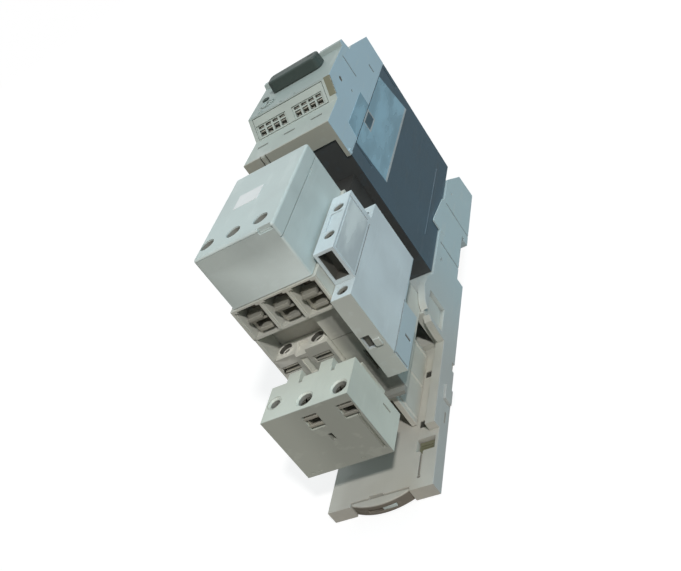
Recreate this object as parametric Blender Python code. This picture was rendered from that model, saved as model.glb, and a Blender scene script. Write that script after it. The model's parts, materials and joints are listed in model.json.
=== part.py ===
"""Motor starter on a mounting plate: a rotary circuit breaker, a contactor with a side contact block
and a feeder terminal block, standing on a long plate that clips to a 35 mm rail.

The starter lies on its back. +Z is its front, +Y its line end, +X its right side.
The origin is on the plate's back face, at its middle. Sizes are in millimetres.
"""

import math

import bmesh
import bpy
from mathutils import Matrix, Vector

MM = 0.001
GAP = 0.3
OVER = 1.0
POLES = (-12.5, 0.0, 12.5)

# Mounting plate
PLATE_X = 23.4
PLATE_Y = 106.0
SLAB_Z = 5.9
SEAT_Z = 24.9
SEAT_LOW_Y = -27.0
SEAT_SLOPE_Y = 85.2
SEAT_SLOPE_Z = 14.8
WALL = 3.0
RAIL_WIDTH = 35.6
RAIL_LOW_Y = 20.3
RAIL_HIGH_Y = RAIL_LOW_Y + RAIL_WIDTH
RAIL_DEPTH = 5.4
RAIL_LIP = 3.2
POST_X = 4.0
POST_Y = 5.0

# Rail latch: a tee-shaped slide with a bow-shaped pull tab
LATCH_FLANGE_X = 8.0
LATCH_WEB_X = 6.0
LATCH_LOW_Z = 0.4
LATCH_STEP_Z = 1.9
LATCH_HIGH_Z = 3.2
LATCH_TRAVEL = 5.0
LATCH_NOSE = 2.3
TAB_X = 12.6
TAB_ROOT_Y = -105.4
TAB_END_Y = -108.2
TAB_INNER_Y = -104.5
TAB_HIGH_Z = 5.6
TAB_CLEAR = 0.5
TAB_DROP = TAB_ROOT_Y - TAB_END_Y
TAB_REACH = (TAB_X * TAB_X + TAB_DROP * TAB_DROP) / (2 * TAB_DROP)
TAB_MIDDLE = (0.0, TAB_END_Y + TAB_REACH)

# Circuit breaker
DEVICE_BACK = SEAT_Z + GAP
BREAKER_X = 22.5
BREAKER_LOW_Y = 2.3
BREAKER_HIGH_Y = 99.7
CASE_FRONT = 92.0
CASE_END_FRONT = 101.1
SHELL = 2.0
LEDGE_LOW_Y = 1.6
LEDGE_HIGH_Y = 23.6
LEDGE_Z = 109.9
FRONT_LOW_Y = 30.1
FRONT_Z = 119.0
LIP_LOW_Y = 63.6
LIP_HIGH_Y = 67.4
LIP_Z = 121.0
SHOULDER_Z = 114.6
SHOULDER_LOW_Y = 69.5
SHOULDER_HIGH_Y = 74.2
COVER_END_Z = 108.4
HANDLE_Y = 54.0
HANDLE_LENGTH = 26.0
HANDLE_WIDTH = 7.0
HANDLE_TOP = 124.8
HANDLE_HUB_R = 8.6
HANDLE_STEM_R = 4.0
AXLE_R = 4.4
AXLE_Z = 54.0
SHAFT_HALF = 2.5
SHAFT_LOW_Z = 62.0
DIAL_AT = (-14.0, 38.9)
DIAL_R = 3.6
BUTTON_AT = (-17.0, 46.0)
BUTTON_HALF = 1.4
LINE_SCREW_Y = 88.0
SHELF_LOW_Y = 82.2
SHELF_Z = (61.0, 64.7)
CASE_FLOOR = DEVICE_BACK + SHELL + GAP

# Spring terminals in the breaker's riser
SPRING_X = (-20.3, 17.8)
SPRING_DEPTH = 6.0
SPRING_GROUPS = (-11.7, 8.2)
SPRING_PITCH = 3.9
SPRING_COUNT = 4

# Contactor
CONTACTOR_X = 19.6
CONTACTOR_LOW_Y = -76.0
CONTACTOR_HIGH_Y = -16.9
BASE_FRONT = 57.7
BODY_FRONT = 87.3
COVER_X = 18.2
COVER_LOW_Y = -75.5
COVER_FRONT = 105.6
LID_FRONT = 111.9
DRIVER_HOLE_R = 3.2
DRIVER_SHIFT = -2.2
SCREW_Y = -67.0
SCREW_SHIFT = -1.6
CELL_HALF = 5.3
CELL_DEPTH = 15.5
CELL_LOW_Z = 73.0
CELL_HIGH_Z = 85.5
CARRIER_TRAVEL = 3.0
BAR_LOW_Z = 71.5
BAR_HIGH_Z = 74.5
BAR_HALF = 3.0
COIL_BLOCK_X = (-19.6, 5.5)
COIL_BLOCK_FRONT = 60.0
COIL_BLOCK_BACK = 48.0
COIL_BLOCK_DEPTH = 9.8
COIL_SCREWS_X = (-14.5, 0.5)
COIL_SCREW_Y = -70.6
MAGNET_Y = -42.0

# Side contact block
AUX_X = (19.9, 28.5)
AUX_SCREWS = ((24.6, -40.8, 91.6), (24.6, -59.7, 91.6), (24.0, -75.2, 77.0))
PIN_Y = -45.5
PIN_Z = 64.5

# Feeder terminal block
FEEDER_X = 18.8
FEEDER_LOW_Y = -105.8
FEEDER_HIGH_Y = -87.3
FEEDER_Z = (25.7, 56.7)
FEEDER_HOLE_R = 3.0
FEEDER_SCREWS_X = (-0.4, 14.3)
FEEDER_SCREW_Y = -100.4
FEEDER_WIRE_SHIFT = 0.6
FEEDER_TABS_X = ((-12.0, -6.2), (2.6, 8.3))

# Finishes: base colour, roughness, metallic
FINISHES = {
    "plate_grey": ((0.56, 0.57, 0.55), 0.55, 0.0),
    "front_grey": ((0.60, 0.64, 0.64), 0.5, 0.0),
    "contact_grey": ((0.64, 0.65, 0.61), 0.5, 0.0),
    "case_dark": ((0.055, 0.075, 0.09), 0.5, 0.0),
    "handle_dark": ((0.035, 0.055, 0.055), 0.45, 0.0),
    "feeder_white": ((0.68, 0.70, 0.64), 0.5, 0.0),
    "inner_black": ((0.03, 0.03, 0.03), 0.6, 0.0),
    "inner_cream": ((0.62, 0.56, 0.42), 0.55, 0.0),
    "steel": ((0.55, 0.55, 0.53), 0.35, 1.0),
    "copper": ((0.72, 0.38, 0.22), 0.3, 1.0),
    "core_steel": ((0.32, 0.32, 0.33), 0.45, 1.0),
}

AXIS_INDEX = {"X": 0, "Y": 1, "Z": 2}


def clear_scene():
    """Remove whatever objects the file holds."""
    for item in list(bpy.data.objects):
        bpy.data.objects.remove(item, do_unlink=True)


def finish(name):
    """The material of that finish, made once."""
    found = bpy.data.materials.get(name)
    if found:
        return found
    colour, roughness, metallic = FINISHES[name]
    made = bpy.data.materials.new(name)
    made.use_nodes = True
    shader = made.node_tree.nodes["Principled BSDF"]
    shader.inputs["Base Color"].default_value = (*colour, 1.0)
    shader.inputs["Roughness"].default_value = roughness
    shader.inputs["Metallic"].default_value = metallic
    return made


def box(x, y, z):
    """A box between the limits x, y and z."""
    shape = bmesh.new()
    bmesh.ops.create_cube(shape, size=1.0)
    limits = (x, y, z)
    size = Vector([high - low for low, high in limits]) * MM
    centre = Vector([(low + high) / 2 for low, high in limits]) * MM
    bmesh.ops.scale(shape, vec=size, verts=shape.verts)
    bmesh.ops.translate(shape, vec=centre, verts=shape.verts)
    return shape


def around(centre, half):
    """The limits half each way from a centre."""
    return (centre - half, centre + half)


def prism(axis, outline, low, high):
    """An outline of the two other axes, in X, Y, Z order, extruded along an axis from low to high."""
    at = AXIS_INDEX[axis]
    shape = bmesh.new()
    ring = []
    for pair in outline:
        point = list(pair)
        point.insert(at, low)
        ring.append(shape.verts.new(Vector(point) * MM))
    face = shape.faces.new(ring)
    grown = bmesh.ops.extrude_face_region(shape, geom=[face])
    moved = [item for item in grown["geom"] if isinstance(item, bmesh.types.BMVert)]
    step = Vector((0.0, 0.0, 0.0))
    step[at] = (high - low) * MM
    bmesh.ops.translate(shape, vec=step, verts=moved)
    bmesh.ops.recalc_face_normals(shape, faces=shape.faces)
    return shape


def rod(centre, radius, low, high, sides=20):
    """A round bar along Z about a centre in X and Y."""
    shape = bmesh.new()
    middle = Vector((centre[0], centre[1], (low + high) / 2)) * MM
    bmesh.ops.create_cone(
        shape,
        cap_ends=True,
        segments=sides,
        radius1=radius * MM,
        radius2=radius * MM,
        depth=(high - low) * MM,
        matrix=Matrix.Translation(middle),
    )
    for face in shape.faces:
        face.smooth = len(face.verts) == 4
    return shape


def arc(centre, radius, start, end, steps):
    """Points on a circle between two angles in degrees."""
    points = []
    for step in range(steps + 1):
        angle = math.radians(start + (end - start) * step / steps)
        points.append((centre[0] + radius * math.cos(angle), centre[1] + radius * math.sin(angle)))
    return points


def rounded_rectangle(x, y, radius, steps=3):
    """The outline of a rectangle with round corners."""
    corners = ((x[1], y[1], 0), (x[0], y[1], 90), (x[0], y[0], 180), (x[1], y[0], 270))
    outline = []
    for corner_x, corner_y, start in corners:
        inner_x = corner_x + math.copysign(radius, (x[0] + x[1]) / 2 - corner_x)
        inner_y = corner_y + math.copysign(radius, (y[0] + y[1]) / 2 - corner_y)
        outline += arc((inner_x, inner_y), radius, start, start + 90, steps)
    return outline


def mesh_object(name, shapes):
    """One object that holds the shapes given, each a closed shell."""
    mesh = bpy.data.meshes.new(name)
    joined = bmesh.new()
    for shape in shapes:
        part = bpy.data.meshes.new("part")
        shape.to_mesh(part)
        shape.free()
        joined.from_mesh(part)
        bpy.data.meshes.remove(part)
    joined.to_mesh(mesh)
    joined.free()
    made = bpy.data.objects.new(name, mesh)
    bpy.context.scene.collection.objects.link(made)
    return made


def combine(target, shapes, operation):
    """Add the shapes to a piece or cut them from it, by way of a hidden helper object."""
    helper = mesh_object(f"{target.name}_{operation.lower()}", shapes)
    helper.hide_render = True
    helper.display_type = "WIRE"
    change = target.modifiers.new(operation.lower(), "BOOLEAN")
    change.operation = operation
    change.solver = "EXACT"
    change.use_self = len(shapes) > 1
    change.object = helper


def piece(name, material, shape, adds=(), cuts=(), pivot=None):
    """One named piece: its shape and adds, less its cuts, with its origin at a pivot."""
    made = mesh_object(name, [shape])
    made.data.materials.append(finish(material))
    if adds:
        combine(made, list(adds), "UNION")
    if cuts:
        combine(made, list(cuts), "DIFFERENCE")
    if pivot:
        offset = Vector(pivot) * MM
        made.data.transform(Matrix.Translation(-offset))
        made.location = offset
    return made


def mirrored(limits):
    """The same limits on the right and on the left side."""
    low, high = limits
    return ((low, high), (-high, -low))


def screw(name, centre, head_radius, shank_radius, levels):
    """A screw along Z: its head between the two upper levels and its shank below."""
    shank_low, head_low, head_high = levels
    head = rod(centre, head_radius, head_low, head_high)
    shank = rod(centre, shank_radius, shank_low, head_low + GAP, sides=12)
    return piece(name, "steel", head, adds=[shank])


def box_clamp(name, x, y, z, wire_z, hole, wall=1.4, tail=None):
    """A terminal clamp: a metal box that is open along Y, with a screw hole in its top."""
    window = box((x[0] + wall, x[1] - wall), (y[0] - OVER, y[1] + OVER), wire_z)
    drilled = rod(hole, 1.9, wire_z[1] - OVER, z[1] + OVER, sides=12)
    adds = [tail] if tail else []
    return piece(name, "steel", box(x, y, z), adds=adds, cuts=[window, drilled])


def make_plate():
    """The long plate: slab, raised seat, side lugs, rail channel and guide for the latch."""
    outline = [
        (-PLATE_Y, 0.0),
        (PLATE_Y, 0.0),
        (PLATE_Y - 1.7, SEAT_SLOPE_Z),
        (SEAT_SLOPE_Y, SEAT_Z),
        (SEAT_LOW_Y, SEAT_Z),
        (SEAT_LOW_Y, SLAB_Z),
        (-PLATE_Y, SLAB_Z),
    ]
    ear = [(-4.0, 8.0), (2.0, 24.0), (-6.0, 28.6), (-14.0, 29.8), (-23.0, 27.4), (-29.0, 21.0)]
    ear += [(-30.0, 14.0), (-30.0, 4.0), (-4.0, 4.0)]
    adds = []
    cuts = []
    for x in mirrored((19.9, PLATE_X)):
        adds.append(prism("X", ear, *x))
    for x in mirrored((BREAKER_X + GAP, PLATE_X + 0.2)):
        adds.append(prism("X", [(36.5, 20.0), (36.5, 31.0), (39.0, 31.0), (63.0, 26.8), (63.0, 20.0)], *x))
    for x in mirrored((19.0, PLATE_X)):
        adds.append(box(x, (-78.0, -28.0), (4.0, 9.9)))
    for x in mirrored((PLATE_X - OVER, PLATE_X + 1.2)):
        adds.append(box(x, (-62.0, -54.0), (1.0, 6.0)))
    for x in mirrored((PLATE_X - 2.0, PLATE_X + OVER)):
        cuts.append(box(x, (-27.0, -12.0), (12.5, 25.0)))
    for x in mirrored((PLATE_X - 0.8, 26.0)):
        cuts.append(box(x, (63.4, 64.6), (-OVER, 23.0)))
        cuts.append(box(x, (28.2, 29.4), (-OVER, 23.0)))
        cuts.append(box(x, (-41.0, -36.0), (-OVER, 2.0)))
    for x in mirrored((13.5, 16.5)):
        cuts.append(box(x, (-45.7, -41.7), (-OVER, SLAB_Z + OVER)))
    for x in mirrored((14.0, 17.5)):
        cuts.append(box(x, (-75.0, -71.0), (-OVER, SLAB_Z + OVER)))
    # Rail channel with the undercut of its fixed lip
    cuts.append(box((-30.0, 30.0), (RAIL_LOW_Y, RAIL_HIGH_Y), (-OVER, RAIL_DEPTH)))
    cuts.append(box((-30.0, 30.0), (RAIL_HIGH_Y - OVER, RAIL_HIGH_Y + 2.0), (RAIL_LIP, RAIL_DEPTH)))
    # Hollow back of the seat and its open lower end
    hollow = PLATE_X - WALL
    cuts.append(box((-hollow, hollow), (61.0, 72.0), (-OVER, SEAT_Z - WALL)))
    cuts.append(box((-hollow, hollow), (75.0, 98.0), (-OVER, 12.5)))
    cuts.append(box((-17.0, 17.0), (SEAT_LOW_Y - OVER, -4.0), (SLAB_Z + 2.5, SEAT_Z - WALL)))
    # Guide of the latch, in four runs round the stop post
    flange = LATCH_FLANGE_X + GAP
    web = LATCH_WEB_X + GAP
    guide_end = RAIL_LOW_Y + OVER
    step = LATCH_STEP_Z - GAP
    top = LATCH_HIGH_Z + GAP
    for low, high in ((-PLATE_Y - OVER, -POST_Y), (POST_Y, guide_end)):
        cuts.append(box((-flange, flange), (low, high), (step, top)))
        cuts.append(box((-web, web), (low, high), (-OVER, step + 0.1)))
    for x in mirrored((POST_X, flange)):
        cuts.append(box(x, around(0.0, POST_Y + OVER), (step, top)))
    for x in mirrored((POST_X, web)):
        cuts.append(box(x, around(0.0, POST_Y + OVER), (-OVER, step + 0.1)))
    # Notch for the pull tab, and the recess and groove beside it
    notch_y = (-PLATE_Y - OVER, TAB_INNER_Y + TAB_CLEAR)
    cuts.append(box(around(0.0, TAB_X + TAB_CLEAR), notch_y, (-OVER, SLAB_Z + OVER)))
    cuts.append(box((14.0, 22.0), (-87.6, -81.2), (3.6, SLAB_Z + OVER)))
    cuts.append(box((16.0, 17.0), (-100.0, -87.0), (4.9, SLAB_Z + OVER)))
    return piece("mounting_plate", "plate_grey", prism("X", outline, -PLATE_X, PLATE_X), adds, cuts)


def make_latch():
    """The sliding rail latch: nose, slotted tee and bow-shaped tab."""
    nose = RAIL_LOW_Y + LATCH_NOSE
    slide = (TAB_ROOT_Y - 1.0, nose)
    flange = box(around(0.0, LATCH_FLANGE_X), slide, (LATCH_STEP_Z, LATCH_HIGH_Z))
    web = box(around(0.0, LATCH_WEB_X), slide, (LATCH_LOW_Z, LATCH_STEP_Z + 0.1))
    spread = math.degrees(math.asin(TAB_X / TAB_REACH))
    bow = arc(TAB_MIDDLE, TAB_REACH, 270 - spread, 270 + spread, 14)
    bow += [(TAB_X, TAB_INNER_Y), (-TAB_X, TAB_INNER_Y)]
    tab = prism("Z", bow, LATCH_LOW_Z, TAB_HIGH_Z)
    slot_y = (-POST_Y - 2 * GAP, POST_Y + LATCH_TRAVEL + 2 * GAP)
    slot = box(around(0.0, POST_X + GAP), slot_y, (-OVER, LATCH_HIGH_Z + OVER))
    return piece("rail_latch", "plate_grey", flange, [web, tab], [slot], pivot=(0.0, TAB_END_Y, LATCH_LOW_Z))


def make_support():
    """The bridge that carries the contactor above the slab."""
    outer = box(around(0.0, 13.0), (-73.0, -30.5), (SLAB_Z + GAP, SEAT_Z))
    tunnel = box(around(0.0, 10.5), (-75.0, -28.0), (SLAB_Z - OVER, SEAT_Z - WALL))
    return piece("contactor_support", "plate_grey", outer, cuts=[tunnel])


def make_breaker_case():
    """The dark rear case: a deep box with wire entries and a raised lower end wall."""
    inner = BREAKER_X - SHELL - GAP
    inner_y = (BREAKER_LOW_Y + SHELL + GAP, BREAKER_HIGH_Y - SHELL - GAP)
    shell = box(around(0.0, BREAKER_X), (BREAKER_LOW_Y, BREAKER_HIGH_Y), (DEVICE_BACK, CASE_FRONT))
    end = box(around(0.0, inner), (BREAKER_LOW_Y, inner_y[0]), (CASE_FRONT - OVER, CASE_END_FRONT))
    shelf_y = (inner_y[0], SHELF_LOW_Y)
    cuts = [box(around(0.0, inner), inner_y, (SHELF_Z[1], CASE_END_FRONT + OVER))]
    cuts.append(box(around(0.0, inner), shelf_y, (SHELF_Z[0] - OVER, SHELF_Z[1] + OVER)))
    cuts.append(box(around(0.0, inner), inner_y, (DEVICE_BACK + SHELL, SHELF_Z[0])))
    for pole in POLES:
        cuts.append(box(around(pole, 4.6), (inner_y[1] - OVER, BREAKER_HIGH_Y + OVER), (66.0, 77.0)))
        bar_z = (BAR_LOW_Z - GAP, BAR_HIGH_Z + GAP)
        cuts.append(box(around(pole, BAR_HALF + GAP), (0.0, inner_y[0] + OVER), bar_z))
    return piece("breaker_case", "case_dark", shell, [end], cuts)


def riser_point(along, depth):
    """A point in Y and Z on the sloped riser: along it from its foot, and below its face."""
    rise = Vector((FRONT_LOW_Y - LEDGE_HIGH_Y, FRONT_Z - LEDGE_Z)).normalized()
    inward = Vector((rise.y, -rise.x))
    spot = Vector((LEDGE_HIGH_Y, LEDGE_Z)) + rise * along + inward * depth
    return (spot.x, spot.y)


def riser_patch(along, depth):
    """A rectangle in Y and Z set square to the riser."""
    return [
        riser_point(along[0], depth[0]),
        riser_point(along[1], depth[0]),
        riser_point(along[1], depth[1]),
        riser_point(along[0], depth[1]),
    ]


def make_breaker_cover():
    """The light front cover: ledge, riser, front, shoulder and the openings in them."""
    outline = [
        (LEDGE_LOW_Y, CASE_FRONT + GAP),
        (LEDGE_LOW_Y, LEDGE_Z),
        (LEDGE_HIGH_Y, LEDGE_Z),
        (FRONT_LOW_Y, FRONT_Z),
        (LIP_LOW_Y, FRONT_Z),
        (LIP_LOW_Y + 1.0, LIP_Z),
        (LIP_HIGH_Y, LIP_Z),
        (SHOULDER_LOW_Y, SHOULDER_Z),
        (SHOULDER_HIGH_Y, SHOULDER_Z),
        (BREAKER_HIGH_Y, COVER_END_Z),
        (BREAKER_HIGH_Y, CASE_FRONT + GAP),
    ]
    inner = BREAKER_X - SHELL
    low_y = LEDGE_LOW_Y + SHELL + 1.3
    high_y = BREAKER_HIGH_Y - SHELL
    hollow = [
        (low_y, CASE_FRONT - OVER),
        (low_y, LEDGE_Z - SHELL),
        (36.0, LEDGE_Z - SHELL),
        (36.0, FRONT_Z - SHELL),
        (62.0, FRONT_Z - SHELL),
        (66.0, SHOULDER_Z - SHELL),
        (SHOULDER_HIGH_Y, SHOULDER_Z - SHELL),
        (high_y, COVER_END_Z - SHELL),
        (high_y, CASE_FRONT - OVER),
    ]
    cuts = [prism("X", hollow, -inner, inner)]
    cuts.append(box(around(0.0, inner), (0.0, low_y + OVER), (CASE_FRONT - OVER, CASE_END_FRONT + GAP)))
    seat = riser_patch((0.6 - GAP, 10.2 + GAP), (-OVER, SPRING_DEPTH + GAP))
    cuts.append(prism("X", seat, SPRING_X[0] - GAP, SPRING_X[1] + GAP))
    cuts.append(box((-10.3, 10.3), (62.0, 70.0), (FRONT_Z, LIP_Z + OVER)))
    cuts.append(rod((0.0, HANDLE_Y), HANDLE_STEM_R + GAP, 110.0, 125.0))
    cuts.append(rod(DIAL_AT, DIAL_R + GAP, 110.0, 125.0))
    hole = BUTTON_HALF + GAP
    cuts.append(box(around(BUTTON_AT[0], hole), around(BUTTON_AT[1], hole), (106.0, 125.0)))
    for pole in POLES:
        cuts.append(rod((pole, LINE_SCREW_Y), DRIVER_HOLE_R, 100.0, 118.0))
        cuts.append(box(around(pole * 1.17 - 1.3, 3.0), (14.0, 15.6), (106.0, 112.0)))
    return piece("breaker_cover", "front_grey", prism("X", outline, -BREAKER_X, BREAKER_X), cuts=cuts)


def make_spring_terminals():
    """The block of spring terminals in the riser: release slots above, wire holes below."""
    body = prism("X", riser_patch((0.6, 10.2), (0.15, SPRING_DEPTH)), *SPRING_X)
    cuts = []
    for group in SPRING_GROUPS:
        for column in range(SPRING_COUNT):
            middle = group + (column - (SPRING_COUNT - 1) / 2) * SPRING_PITCH
            slot = riser_patch((6.7, 8.3), (-OVER, 3.0))
            hole = riser_patch((1.9, 4.7), (-OVER, 4.5))
            cuts.append(prism("X", slot, *around(middle, 1.2)))
            cuts.append(prism("X", hole, *around(middle, 1.4)))
    return piece("front_contact_block", "contact_grey", body, cuts=cuts)


def make_breaker_controls():
    """Handle with its shaft, setting dial and test button."""
    at = (0.0, HANDLE_Y)
    bar_y = around(HANDLE_Y, HANDLE_WIDTH / 2)
    bar_outline = rounded_rectangle(around(0.0, HANDLE_LENGTH / 2), bar_y, 2.0)
    bar = prism("Z", bar_outline, FRONT_Z + 0.4, HANDLE_TOP)
    hub = rod(at, HANDLE_HUB_R, FRONT_Z + GAP, FRONT_Z + 1.6, sides=28)
    stem = rod(at, HANDLE_STEM_R, 108.0, FRONT_Z + 0.5)
    pivot = (*at, FRONT_Z)
    piece("breaker_handle", "handle_dark", bar, [hub, stem], pivot=pivot)
    shaft = box(around(0.0, SHAFT_HALF), around(HANDLE_Y, SHAFT_HALF), (SHAFT_LOW_Z, 108.0 - GAP))
    piece("handle_shaft", "steel", shaft, pivot=pivot)
    dial = rod(DIAL_AT, DIAL_R, 112.0, FRONT_Z + 0.5)
    groove = box(around(DIAL_AT[0], 0.5), around(DIAL_AT[1], DIAL_R - 0.6), (FRONT_Z - 0.7, FRONT_Z + OVER))
    piece("setting_dial", "feeder_white", dial, cuts=[groove], pivot=(*DIAL_AT, FRONT_Z))
    face = box(around(BUTTON_AT[0], BUTTON_HALF), around(BUTTON_AT[1], BUTTON_HALF), (110.5, FRONT_Z + 0.7))
    piece("test_button", "handle_dark", face, pivot=(*BUTTON_AT, FRONT_Z))


def make_breaker_inside():
    """Mechanism, contact shaft and, for each pole, arc chamber, trip unit, terminal and screw."""
    frame = box(around(0.0, 9.0), (40.0, 68.0), (76.0, 104.0))
    bore = rod((0.0, HANDLE_Y), SHAFT_HALF * 1.415 + GAP, 70.0, 110.0)
    legs = [box(around(0.0, 9.0), y, (CASE_FLOOR, 77.0)) for y in ((41.0, 43.5), (60.6, 63.1))]
    axle = (HANDLE_Y, AXLE_Z)
    cheeks = [box(x, (47.5, 61.0), (AXLE_Z - 7.0, 77.0)) for x in mirrored((6.5, 9.0))]
    seat = prism("X", arc(axle, AXLE_R + GAP, 0.0, 345.0, 23), -12.0, 12.0)
    piece("switch_mechanism", "inner_black", frame, legs + cheeks, [bore, seat])
    shaft = prism("X", arc(axle, AXLE_R, 0.0, 345.0, 23), -19.0, 19.0)
    fingers = [box(around(pole, 2.2), (45.0, HANDLE_Y), around(AXLE_Z, 1.0)) for pole in POLES]
    piece("breaker_contact_bar", "inner_black", shaft, fingers, pivot=(0.0, *axle))
    for number, pole in enumerate(POLES, start=1):
        wide = around(pole, 5.4)
        chamber = box(wide, (63.5, 82.0), (CASE_FLOOR, 46.0))
        slots = [box(around(pole, 7.0), (at, at + 1.6), (33.0, 47.0)) for at in (66.0, 69.5, 73.0, 76.5)]
        piece(f"arc_chamber_{number}", "inner_cream", chamber, cuts=slots)
        base = box(wide, (12.0, 40.0), (CASE_FLOOR, 34.0))
        magnet = rod((pole, 24.0), 5.2, 33.5, 54.0)
        strip = box(around(pole, 2.0), (36.0, 37.4), (33.5, 64.0))
        piece(f"trip_unit_{number}", "copper", base, [magnet, strip])
        at = (pole, LINE_SCREW_Y)
        clamp_y = (82.5, 94.5)
        box_clamp(f"line_terminal_{number}", around(pole, 4.4), clamp_y, (65.0, 79.0), (66.5, 76.5), at)
        screw(f"line_screw_{number}", at, 2.7, 1.6, (76.8, 79.3, 82.0))


def make_link():
    """The insulated link between breaker and contactor, with its three bars."""
    slots_z = (BAR_LOW_Z - GAP, BAR_HIGH_Z + GAP)
    body_y = (CONTACTOR_HIGH_Y + GAP, BREAKER_LOW_Y - GAP)
    cuts = [box(around(pole, BAR_HALF + GAP), (-20.0, 6.0), slots_z) for pole in POLES]
    piece("link_module", "case_dark", box(around(0.0, 18.5), body_y, (62.0, 84.0)), cuts=cuts)
    for number, pole in enumerate(POLES, start=1):
        bar = box(around(pole, BAR_HALF), (-36.0, 12.0), (BAR_LOW_Z, BAR_HIGH_Z))
        piece(f"link_bar_{number}", "copper", bar)


def make_contactor_shells():
    """Base, body, front cover and lid of the contactor."""
    y = (CONTACTOR_LOW_Y, CONTACTOR_HIGH_Y)
    inner_x = around(0.0, CONTACTOR_X - 2.2)
    coil_y = (CONTACTOR_LOW_Y - OVER, CONTACTOR_LOW_Y + COIL_BLOCK_DEPTH + 0.6)
    room = box(inner_x, (-64.4, -19.1), (DEVICE_BACK + 2.4, BASE_FRONT + OVER))
    coil_seat_x = (-CONTACTOR_X - OVER, COIL_BLOCK_X[1] + GAP)
    seat = box(coil_seat_x, coil_y, (COIL_BLOCK_BACK - GAP, BASE_FRONT + OVER))
    base = box(around(0.0, CONTACTOR_X), y, (DEVICE_BACK, BASE_FRONT))
    piece("contactor_base", "contact_grey", base, cuts=[room, seat])

    back = BASE_FRONT + GAP
    cuts = [box(inner_x, (-58.0, -34.0), (back - OVER, BODY_FRONT - 2.8))]
    cuts.append(box(coil_seat_x, coil_y, (back - OVER, 69.0)))
    pin_slot = (PIN_Z - CARRIER_TRAVEL - 2.1, PIN_Z + 2.1)
    cuts.append(box((17.0, CONTACTOR_X + OVER), around(PIN_Y, 2.1), pin_slot))
    for pole in POLES:
        cell_y = (CONTACTOR_LOW_Y - OVER, CONTACTOR_LOW_Y + CELL_DEPTH)
        cuts.append(box(around(pole, CELL_HALF), cell_y, (CELL_LOW_Z, CELL_HIGH_Z)))
        cuts.append(rod((pole + SCREW_SHIFT, SCREW_Y), DRIVER_HOLE_R, 84.0, BODY_FRONT + OVER))
        cuts.append(box(around(pole, 3.5), (-62.0, -57.0), (CELL_LOW_Z, 75.4)))
        slot_z = (BAR_LOW_Z - GAP, BAR_HIGH_Z + GAP)
        cuts.append(box(around(pole, BAR_HALF + GAP), (-35.0, CONTACTOR_HIGH_Y + OVER), slot_z))
    body = box(around(0.0, CONTACTOR_X), y, (back, BODY_FRONT))
    piece("contactor_body", "contact_grey", body, cuts=cuts)

    cover_y = (COVER_LOW_Y, CONTACTOR_HIGH_Y)
    cover = box(around(0.0, COVER_X), cover_y, (BODY_FRONT + GAP, COVER_FRONT))
    room = box(around(0.0, COVER_X - SHELL), (-61.0, -18.9), (BODY_FRONT - OVER, COVER_FRONT - SHELL))
    holes = [(pole + DRIVER_SHIFT, SCREW_Y) for pole in POLES]
    driver = [rod(at, DRIVER_HOLE_R, 80.0, LID_FRONT + OVER) for at in holes]
    piece("contactor_cover", "front_grey", cover, cuts=[room, *driver])

    lid = box(around(0.0, COVER_X), cover_y, (COVER_FRONT + GAP, LID_FRONT))
    driver = [rod(at, DRIVER_HOLE_R, 100.0, LID_FRONT + OVER) for at in holes]
    notch = box((11.4, 17.0), (COVER_LOW_Y - OVER, COVER_LOW_Y + 1.2), (LID_FRONT - 1.6, LID_FRONT + OVER))
    piece("contactor_lid", "front_grey", lid, cuts=[notch, *driver])


def make_magnet():
    """Fixed core, bobbin with its winding, armature and return spring."""
    core = [(-60.0, 27.9), (-24.0, 27.9), (-24.0, 50.0), (-29.0, 50.0), (-29.0, 34.0), (-37.5, 34.0)]
    core += [(-37.5, 49.0), (-46.5, 49.0), (-46.5, 34.0), (-55.0, 34.0), (-55.0, 50.0), (-60.0, 50.0)]
    piece("fixed_core", "core_steel", prism("X", core, -7.0, 7.0))

    drum_x = around(0.0, 8.8)
    drum_y = around(MAGNET_Y, 6.4)
    flanges = [box(around(0.0, 14.0), around(MAGNET_Y, 12.2), z) for z in ((34.4, 35.6), (48.2, 49.4))]
    hole = box(around(0.0, 7.5), around(MAGNET_Y, 5.0), (33.0, 51.0))
    piece("coil_bobbin", "inner_cream", box(drum_x, drum_y, (35.0, 49.0)), flanges, [hole])
    inside = box(around(0.0, 8.8 + GAP), around(MAGNET_Y, 6.4 + GAP), (33.0, 51.0))
    wound = box(around(0.0, 12.9), around(MAGNET_Y, 11.2), (35.6 + GAP, 48.2 - GAP))
    piece("coil_winding", "copper", wound, cuts=[inside])

    moving = (0.0, MAGNET_Y, BASE_FRONT)
    plate = box(around(0.0, 7.0), (-60.0, -24.0), (53.4, BASE_FRONT - 0.1))
    well = rod((0.0, MAGNET_Y), 3.8, 50.0, 62.0)
    piece("armature", "core_steel", plate, cuts=[well], pivot=moving)
    make_spring()


def make_spring():
    """The return spring on the core's middle leg: a helix in the carrier's well."""
    turns = 6
    per_turn = 8
    radius = 2.8
    wire = 0.4
    low = 49.0 + GAP + wire
    rise = 17.0
    curve = bpy.data.curves.new("return_spring", "CURVE")
    curve.dimensions = "3D"
    curve.bevel_depth = wire * MM
    curve.bevel_resolution = 1
    curve.use_fill_caps = True
    line = curve.splines.new("POLY")
    line.points.add(turns * per_turn)
    for step in range(turns * per_turn + 1):
        angle = 2 * math.pi * step / per_turn
        height = low + rise * step / (turns * per_turn)
        spot = Vector((radius * math.cos(angle), MAGNET_Y + radius * math.sin(angle), height)) * MM
        line.points[step].co = (*spot, 1.0)
    curve.materials.append(finish("steel"))
    made = bpy.data.objects.new("return_spring", curve)
    bpy.context.scene.collection.objects.link(made)


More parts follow.
